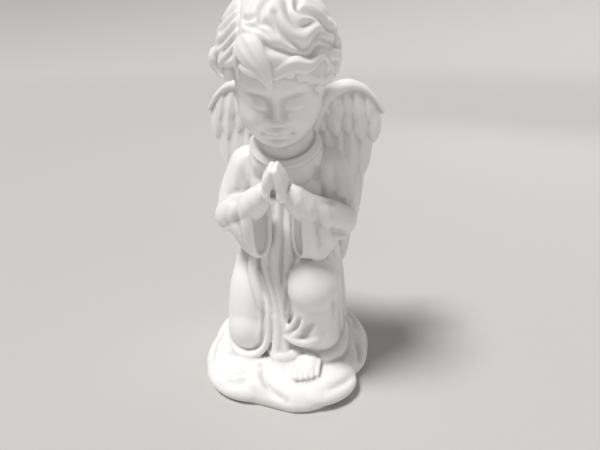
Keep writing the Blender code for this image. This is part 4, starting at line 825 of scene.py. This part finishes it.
# Creases and ridges pressed into the finished skin: the side they are seen from, the places
# across and up (or along Y, from above), the reach, and how deep they go (below 0: a ridge)
strokes = (
    # robe between the collar and the arms
    ("front", ((-12.4, 97.5), (-13.4, 93), (-14.4, 88)), 4.0, -0.7),
    ("front", ((-9.0, 96), (-9.6, 92.5), (-10.2, 89)), 3.4, 0.6),
    ("front", ((-17.0, 99), (-18.6, 92), (-19.6, 84)), 3.8, 0.8),
    ("front", ((-21.6, 98), (-23.2, 90), (-23.8, 82)), 4.0, -0.7),
    ("front", ((8.4, 96.5), (9.4, 92), (9.8, 88)), 3.8, -0.7),
    ("front", ((13.0, 98), (14.0, 92), (14.0, 87)), 3.4, 0.7),
    ("front", ((17.4, 99), (18.2, 92), (17.6, 85)), 3.8, -0.7),
    ("front", ((21.2, 98), (22.4, 90), (22.0, 82)), 3.8, 0.8),
    # opening between the heels of the hands
    ("front", ((-0.3, 87.6), (-0.3, 89.2), (-0.2, 91.2)), 1.2, 2.6),
    # right sleeve
    ("front", ((-14.4, 83), (-13.9, 73), (-12.4, 62)), 3.2, -0.8),
    ("front", ((-17.8, 84), (-17.2, 74), (-14.4, 63)), 3.2, 1.0),
    ("front", ((-21.0, 83), (-20.6, 74), (-17.6, 65)), 3.2, -0.7),
    ("front", ((-24.4, 80), (-24.2, 73), (-21.6, 67)), 3.4, 0.8),
    ("front", ((-28.0, 80), (-24.0, 81.5), (-17.0, 84)), 3.2, 1.1),
    # left sleeve
    ("front", ((13.6, 82), (14.2, 71), (15.4, 60)), 3.2, -0.8),
    ("front", ((17.2, 83), (17.3, 72), (18.6, 61)), 3.4, 1.0),
    ("front", ((20.8, 81), (21.0, 71), (21.8, 62)), 3.2, -0.8),
    ("front", ((20.0, 73), (23.6, 69.0), (27.0, 67.5)), 3.0, 0.9),
    ("front", ((28.5, 80), (25.0, 81.0), (17.0, 84.5)), 3.2, 1.1),
    # raised leg
    ("front", ((2.4, 46), (2.0, 34), (1.8, 24)), 2.4, 1.6),
    ("front", ((9.6, 17.4), (13.0, 21.5), (15.4, 27.0)), 3.4, 1.7),
    ("front", ((5.2, 18.0), (7.4, 22.0), (9.0, 27.0)), 2.0, 1.2),
    ("front", ((23.5, 43), (24.5, 34), (24.0, 24)), 3.0, 0.9),
    # kneeling leg
    ("front", ((-12.0, 50), (-9.3, 41.5), (-6.2, 33), (-4.6, 26)), 2.6, 1.5),
    ("front", ((-11.6, 29), (-11.0, 19.5), (-12.4, 11.5), (-16.0, 6.5)), 2.6, -0.7),
    ("front", ((-9.2, 30), (-8.8, 19), (-10.0, 10), (-14.0, 4.5)), 2.2, 0.9),
    # cloud-like lobes of the ground
    ("above", ((-26.0, -36.0), (-19.0, -35.2), (-12.0, -31.5)), 3.8, 1.5),
    ("above", ((-28.0, -31.5), (-20.5, -31.0), (-15.0, -28.5)), 2.8, 1.0),
    ("above", ((-9.5, -26.0), (-7.0, -33.0), (-2.5, -38.6), (5.0, -41.6)), 3.4, 2.2),
    ("above", ((-13.0, -30.0), (-9.0, -35.5), (-5.5, -40.0)), 3.4, -0.9),
    ("above", ((35.0, 2), (37.5, -8.5), (37.0, -17.5)), 3.4, 1.6),
    ("above", ((36.0, -20), (30.5, -29), (22.0, -36.5)), 3.4, 1.4),
    ("above", ((-35.0, -22), (-38.0, -8), (-36.5, 4)), 3.4, 1.4),
    ("above", ((-30.0, 26), (-18.0, 36), (-4.0, 38)), 3.4, 1.4),
    ("above", ((35.0, 14), (33.0, 26), (22.0, 36)), 3.4, 1.4),
)


overGround = 2.5  # height that the ground's strokes are looked down from, under the robe
inFront = -200  # place along Y that the other strokes are looked at from


# Where a stroke's place is looked at from, and the way of the look.
def lineOfSight(way, pair):
    across, up = pair
    if way == "above":
        return Vector((across, up, overGround)), Vector((0, 0, -1))
    return Vector((across, inFront, up)), Vector((0, 1, 0))


# Head, face and hair, carved upright and then bowed on the neck
def addHead(clay):
    head = []
    addRings(head, headRings())
    addHair(head)
    for lump in head:
        lump.data.transform(headMatrix())
    clay += head
    addNape(clay)


# Places of the skin's points and the way each faces
def readSkin(mesh):
    places = np.empty(len(mesh.vertices) * 3)
    mesh.vertices.foreach_get("co", places)
    normals = np.empty(len(mesh.vertices) * 3)
    mesh.vertices.foreach_get("normal", normals)
    return places.reshape(-1, 3), normals.reshape(-1, 3)


# Presses each crease into the skin, and draws each ridge out of it
def pressStrokes(made):
    mesh = made.data
    places, normals = readSkin(mesh)
    tree = BVHTree.FromPolygons(places.tolist(), [tuple(p.vertices) for p in mesh.polygons])
    for way, route, reach, depth in strokes:
        hits = [tree.ray_cast(*lineOfSight(way, pair))[0] for pair in smoothPath(route, 32)]
        line = np.array([hit for hit in hits if hit])
        around = np.ptp(line, axis=0) / 2 + 3 * reach
        middle = (line.max(axis=0) + line.min(axis=0)) / 2
        near = np.flatnonzero(np.all(np.abs(places - middle) < around, axis=1))
        gaps = np.linalg.norm(places[near][:, None] - line[None], axis=2)
        closest = gaps.argmin(axis=1)
        fade = np.sin(math.pi * np.clip(closest / (len(line) - 1), 0.06, 0.94)) ** 0.6
        press = depth * fade * np.exp(-((gaps.min(axis=1) / (0.6 * reach)) ** 2))
        places[near] -= normals[near] * press[:, None]
    mesh.vertices.foreach_set("co", places.ravel())
    mesh.update()


# Deletes every shut-in bubble that the melting left
def leaveOutBubbles(made):
    selectOnly(made)
    bpy.ops.object.mode_set(mode="EDIT")
    bpy.ops.mesh.select_all(action="DESELECT")
    bpy.ops.object.mode_set(mode="OBJECT")
    places = readSkin(made.data)[0]
    made.data.vertices[int(places[:, 2].argmax())].select = True
    bpy.ops.object.mode_set(mode="EDIT")
    bpy.ops.mesh.select_linked()
    bpy.ops.mesh.select_all(action="INVERT")
    bpy.ops.mesh.delete(type="VERT")
    bpy.ops.object.mode_set(mode="OBJECT")


# Cuts the body off level at a height and closes the cut with one flat face
def cutFlat(made, height):
    selectOnly(made)
    bpy.ops.object.mode_set(mode="EDIT")
    bpy.ops.mesh.select_all(action="SELECT")
    bpy.ops.mesh.bisect(plane_co=(0, 0, height), plane_no=(0, 0, 1), use_fill=True, clear_inner=True)
    bpy.ops.mesh.select_all(action="SELECT")
    bpy.ops.mesh.quads_convert_to_tris()
    bpy.ops.mesh.normals_make_consistent(inside=False)
    bpy.ops.object.mode_set(mode="OBJECT")


def makeFigurine():
    clay, cloth = [], []
    addBody(cloth)
    for side in (-1, 1):
        addSleeve(cloth, side)
    addFolds(cloth)
    addNeckline(cloth)
    clay.append(fused(cloth, "cloth", figurine["fineGrain"], figurine["clothSmoothing"]))
    print("cloth softened")
    for side in (-1, 1):
        addArm(clay, side)
        addWing(clay, side)
    addCollar(clay)
    addFeet(clay)
    addHead(clay)
    addGround(clay)
    print("lumps of clay laid:", len(clay))
    made = fused(clay, "figurine", figurine["fineGrain"], figurine["smoothing"])
    print("melted into one skin:", len(made.data.polygons))
    pressStrokes(made)
    leaveOutBubbles(made)
    thin = made.modifiers.new("Thin out", "DECIMATE")
    thin.ratio = figurine["triangles"] / (2 * len(made.data.polygons))
    thin.use_collapse_triangulate = True
    bpy.ops.object.modifier_apply(modifier=thin.name)
    cutFlat(made, -figurine["groundHeight"] / millimetre)
    made.data.transform(Matrix.Scale(millimetre, 4))
    places = readSkin(made.data)[0]
    low, high = places.min(axis=0), places.max(axis=0)
    moved = (-(low[0] + high[0]) / 2, -(low[1] + high[1]) / 2, -low[2])
    made.data.transform(Matrix.Translation(moved))
    print("moved", [round(v * 1000, 2) for v in moved], "size", np.round((high - low) * 1000, 1))
    bpy.ops.object.shade_smooth_by_angle(angle=math.radians(figurine["sharpAngle"]))
    return made


# How hollow the skin is at each point, kept as an attribute: 0 on crests, 0.5 on level places,
# 1 in creases. It places the painted shade in the creases and the painted highlight on the crests.
def markHollows(made, reach):
    mesh = made.data
    places, normals = readSkin(mesh)
    ends = np.empty(len(mesh.edges) * 2, int)
    mesh.edges.foreach_get("vertices", ends)
    a, b = ends.reshape(-1, 2).T
    count = np.bincount(np.concatenate([a, b]), minlength=len(places))[:, None]
    spread = places.copy()
    for _ in range(reach):
        total = np.zeros_like(spread)
        np.add.at(total, a, spread[b])
        np.add.at(total, b, spread[a])
        spread = total / count
    hollow = np.einsum("ij,ij->i", spread - places, normals)
    hollow = np.clip(0.5 + hollow / figurine["hollowDepth"], 0, 1)
    mesh.attributes.new("hollow", "FLOAT", "POINT").data.foreach_set("value", hollow)


# White PLA filament, printed in 0.2 mm layers and left as it comes off the printer: matt, a little waxy,
# with painted shade that darkens the creases and a painted highlight that lightens and warms the crests,
# and fine level lines all the way up.
plastic = {
    "level": "#eeeeed",
    # the crease colour is painted shade, the crest colour a painted highlight
    "crease": "#dadada",
    "crest": "#f2f1f0",
    "crestAt": 0.15,  # of the hollow attribute
    "creaseAt": 0.9,
    "roughness": 0.5,
    "smoother": 0.06,  # how far the roughness strays down and up
    "rougher": 0.08,
    "ior": 1.46,
    "glow": 0.18,  # light that sinks in, as in wax
    "glowTint": (1.0, 0.9, 0.8),
    "glowDepth": 0.0012,
    "layer": 0.0006,  # real layers are 0.2 mm, drawn coarser so that the picture can hold them
    "layerHeight": 0.000005,
    "waver": 0.9,  # slow change from layer to layer
    "waverShare": 1.6,
    "grain": 0.0011,
    "grainShare": 0.7,
}


# The colour of a hex code in Blender's linear values
def linearColour(code):
    parts = [int(code[i:i + 2], 16) / 255 for i in (1, 3, 5)]
    return (*[v / 12.92 if v <= 0.04045 else ((v + 0.055) / 1.055) ** 2.4 for v in parts], 1)


# Adds a node with its settings, its input values and its links
def addNode(tree, kind, settings=None, values=None, links=None):
    node = tree.nodes.new(kind)
    for name, value in (settings or {}).items():
        setattr(node, name, value)
    for socket, value in (values or {}).items():
        node.inputs[socket].default_value = value
    for socket, source in (links or {}).items():
        tree.links.new(source, node.inputs[socket])
    return node


def makePrintedPlastic():
    material = bpy.data.materials.new("matt white printed PLA")
    material.use_nodes = True
    tree = material.node_tree
    shader = tree.nodes["Principled BSDF"]
    shader.inputs["Subsurface Weight"].default_value = plastic["glow"]
    shader.inputs["Subsurface Radius"].default_value = plastic["glowTint"]
    shader.inputs["Subsurface Scale"].default_value = plastic["glowDepth"]
    shader.inputs["IOR"].default_value = plastic["ior"]
    place = addNode(tree, "ShaderNodeTexCoord")
    # from the painted highlight on the crests to the painted shade in the creases, by the hollow attribute
    hollow = addNode(tree, "ShaderNodeAttribute", {"attribute_name": "hollow"})
    # painted shade darkens the creases and a painted highlight lightens and warms the crests
    ramp = addNode(tree, "ShaderNodeValToRGB", links={"Fac": hollow.outputs["Fac"]})
    ramp.color_ramp.elements[0].position = plastic["crestAt"]
    ramp.color_ramp.elements[0].color = linearColour(plastic["crest"])
    ramp.color_ramp.elements[1].position = plastic["creaseAt"]
    ramp.color_ramp.elements[1].color = linearColour(plastic["crease"])
    ramp.color_ramp.elements.new(0.5).color = linearColour(plastic["level"])
    # level lines: the height alone sets them, and a slow noise makes some layers stand out more
    split = addNode(tree, "ShaderNodeSeparateXYZ", links={"Vector": place.outputs["Object"]})
    turns = addNode(tree, "ShaderNodeMath", {"operation": "MULTIPLY"},
        {1: 2 * math.pi / plastic["layer"]}, {0: split.outputs["Z"]})
    wave = addNode(tree, "ShaderNodeMath", {"operation": "SINE"}, links={0: turns.outputs[0]})
    uneven = addNode(
        tree,
        "ShaderNodeTexNoise",
        {"noise_dimensions": "1D"},
        {"Scale": plastic["waver"] / plastic["layer"], "Detail": 2.0},
        {"W": split.outputs["Z"]},
    )
    layers = addNode(tree, "ShaderNodeMath", {"operation": "MULTIPLY_ADD"},
        {1: plastic["waverShare"]}, {0: uneven.outputs["Fac"], 2: wave.outputs[0]})
    grain = addNode(
        tree,
        "ShaderNodeTexNoise",
        values={"Scale": 1 / plastic["grain"], "Detail": 3.0},
        links={"Vector": place.outputs["Object"]},
    )
    skin = addNode(tree, "ShaderNodeMath", {"operation": "MULTIPLY_ADD"},
        {1: plastic["grainShare"]}, {0: grain.outputs["Fac"], 2: layers.outputs[0]})
    bump = addNode(tree, "ShaderNodeBump", values={"Strength": 1.0, "Distance": plastic["layerHeight"]},
        links={"Height": skin.outputs[0]})
    gloss = addNode(
        tree,
        "ShaderNodeMapRange",
        values={
            "To Min": plastic["roughness"] - plastic["smoother"],
            "To Max": plastic["roughness"] + plastic["rougher"],
        },
        links={"Value": grain.outputs["Fac"]},
    )
    tree.links.new(ramp.outputs["Color"], shader.inputs["Base Color"])
    tree.links.new(gloss.outputs[0], shader.inputs["Roughness"])
    tree.links.new(bump.outputs["Normal"], shader.inputs["Normal"])
    return material


piece = makeFigurine()
markHollows(piece, figurine["hollowReach"])
piece.data.materials.clear()
piece.data.materials.append(makePrintedPlastic())
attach(piece, "root")
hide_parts("angel_figurine")
print("figurine done:", len(piece.data.polygons), "triangles")


# A plain pale floor of paper that sweeps up evenly far off all round
floorLook = {"reach": 3.0, "bend": 1.5, "colour": "#c6c5c3", "roughness": 0.8}
bpy.ops.object.select_all(action="DESELECT")
bpy.ops.mesh.primitive_uv_sphere_add(segments=96, ring_count=64, radius=1, location=(0, 0, 0))
floor = bpy.context.object
floor.name = "floor"
bpy.ops.object.mode_set(mode="EDIT")
bpy.ops.mesh.select_all(action="SELECT")
bpy.ops.mesh.bisect(plane_co=(0, 0, 0), plane_no=(0, 0, 1), clear_outer=True)
bpy.ops.mesh.select_all(action="SELECT")
bpy.ops.mesh.flip_normals()
bpy.ops.object.mode_set(mode="OBJECT")
paperLength = floorLook["reach"] + floorLook["bend"] * math.pi / 2
for corner in floor.data.vertices:
    flat = Vector((corner.co.x, corner.co.y))
    along = math.atan2(flat.length, -corner.co.z) / (math.pi / 2) * paperLength
    angle = max(along - floorLook["reach"], 0.0) / floorLook["bend"]
    reach = min(along, floorLook["reach"]) + floorLook["bend"] * math.sin(angle)
    if flat.length > 0:
        flat = flat.normalized() * reach
    corner.co = (flat.x, flat.y, floorLook["bend"] * (1 - math.cos(angle)))
bpy.ops.object.shade_smooth()
paper = bpy.data.materials.new("pale paper")
paper.use_nodes = True
paperShader = paper.node_tree.nodes["Principled BSDF"]
paperShader.inputs["Base Color"].default_value = linearColour(floorLook["colour"])
paperShader.inputs["Roughness"].default_value = floorLook["roughness"]
floor.data.materials.append(paper)

# Soft light from high over the figure's own right side, two weak lamps and a pale surrounding
light = {
    "place": (-0.4, -0.3, 0.9),
    "towards": (0.36, 0.22, -0.90),
    "power": 3.0,
    "angle": 16,  # degrees, wide so that shadows have soft edges
    "colour": "#fffdfb",
    "aim": (0, 0, 0.09),  # what the lamps look at
    "around": "#ededee",
    "aroundPower": 0.2,
}
bpy.ops.object.light_add(type="SUN", location=light["place"])
key = bpy.context.object
key.name = "key"
key.data.energy = light["power"]
key.data.angle = math.radians(light["angle"])
key.data.color = linearColour(light["colour"])[:3]
key.rotation_euler = Vector(light["towards"]).to_track_quat("-Z", "Y").to_euler()
# Each lamp: place, size, power, colour
lamps = {
    "fill": ((0.60, -0.62, 0.22), 0.6, 0.7, "#fafaff"),
    "rim": ((0.35, 0.65, 0.50), 0.5, 0.7, "#fbfbff"),
}
for name, (place, size, power, colour) in lamps.items():
    bpy.ops.object.light_add(type="AREA", location=place)
    lamp = bpy.context.object
    lamp.name = name
    lamp.data.size = size
    lamp.data.energy = power
    lamp.data.color = linearColour(colour)[:3]
    lamp.rotation_euler = (Vector(light["aim"]) - Vector(place)).to_track_quat("-Z", "Y").to_euler()
world = bpy.data.worlds.new("studio")
world.use_nodes = True
surround = world.node_tree.nodes["Background"]
surround.inputs["Color"].default_value = linearColour(light["around"])
surround.inputs["Strength"].default_value = light["aroundPower"]
bpy.context.scene.world = world
bpy.context.scene.view_settings.view_transform = "Standard"

# The camera stands in front of the figure and looks down on it, as the photograph was taken
view = {
    "turn": 9.0,  # degrees
    "down": 21.0,
    "swing": 1.62,
    "reach": 0.207,
    "height": 0.155,
    "lens": 27.6,
    "shift": (0.0, -0.0014, 0.0),
    "sensor": 36,
    "nearest": 0.01,
}
turn, down = math.radians(view["turn"]), math.radians(view["down"])
bpy.ops.object.camera_add(location=(0, 0, 0))
camera = bpy.context.object
camera.name = "camera"
camera.location = Vector((view["reach"] * math.sin(turn), -view["reach"] * math.cos(turn),
    view["height"])) + Vector(view["shift"])
ahead = Vector((-math.sin(turn) * math.cos(down), math.cos(turn) * math.cos(down), -math.sin(down)))
ahead = Matrix.Rotation(-math.radians(view["swing"]), 3, "Z") @ ahead
camera.rotation_euler = ahead.to_track_quat("-Z", "Y").to_euler()
camera.data.lens = view["lens"]
camera.data.sensor_width = view["sensor"]
camera.data.clip_start = view["nearest"]
bpy.context.scene.camera = camera
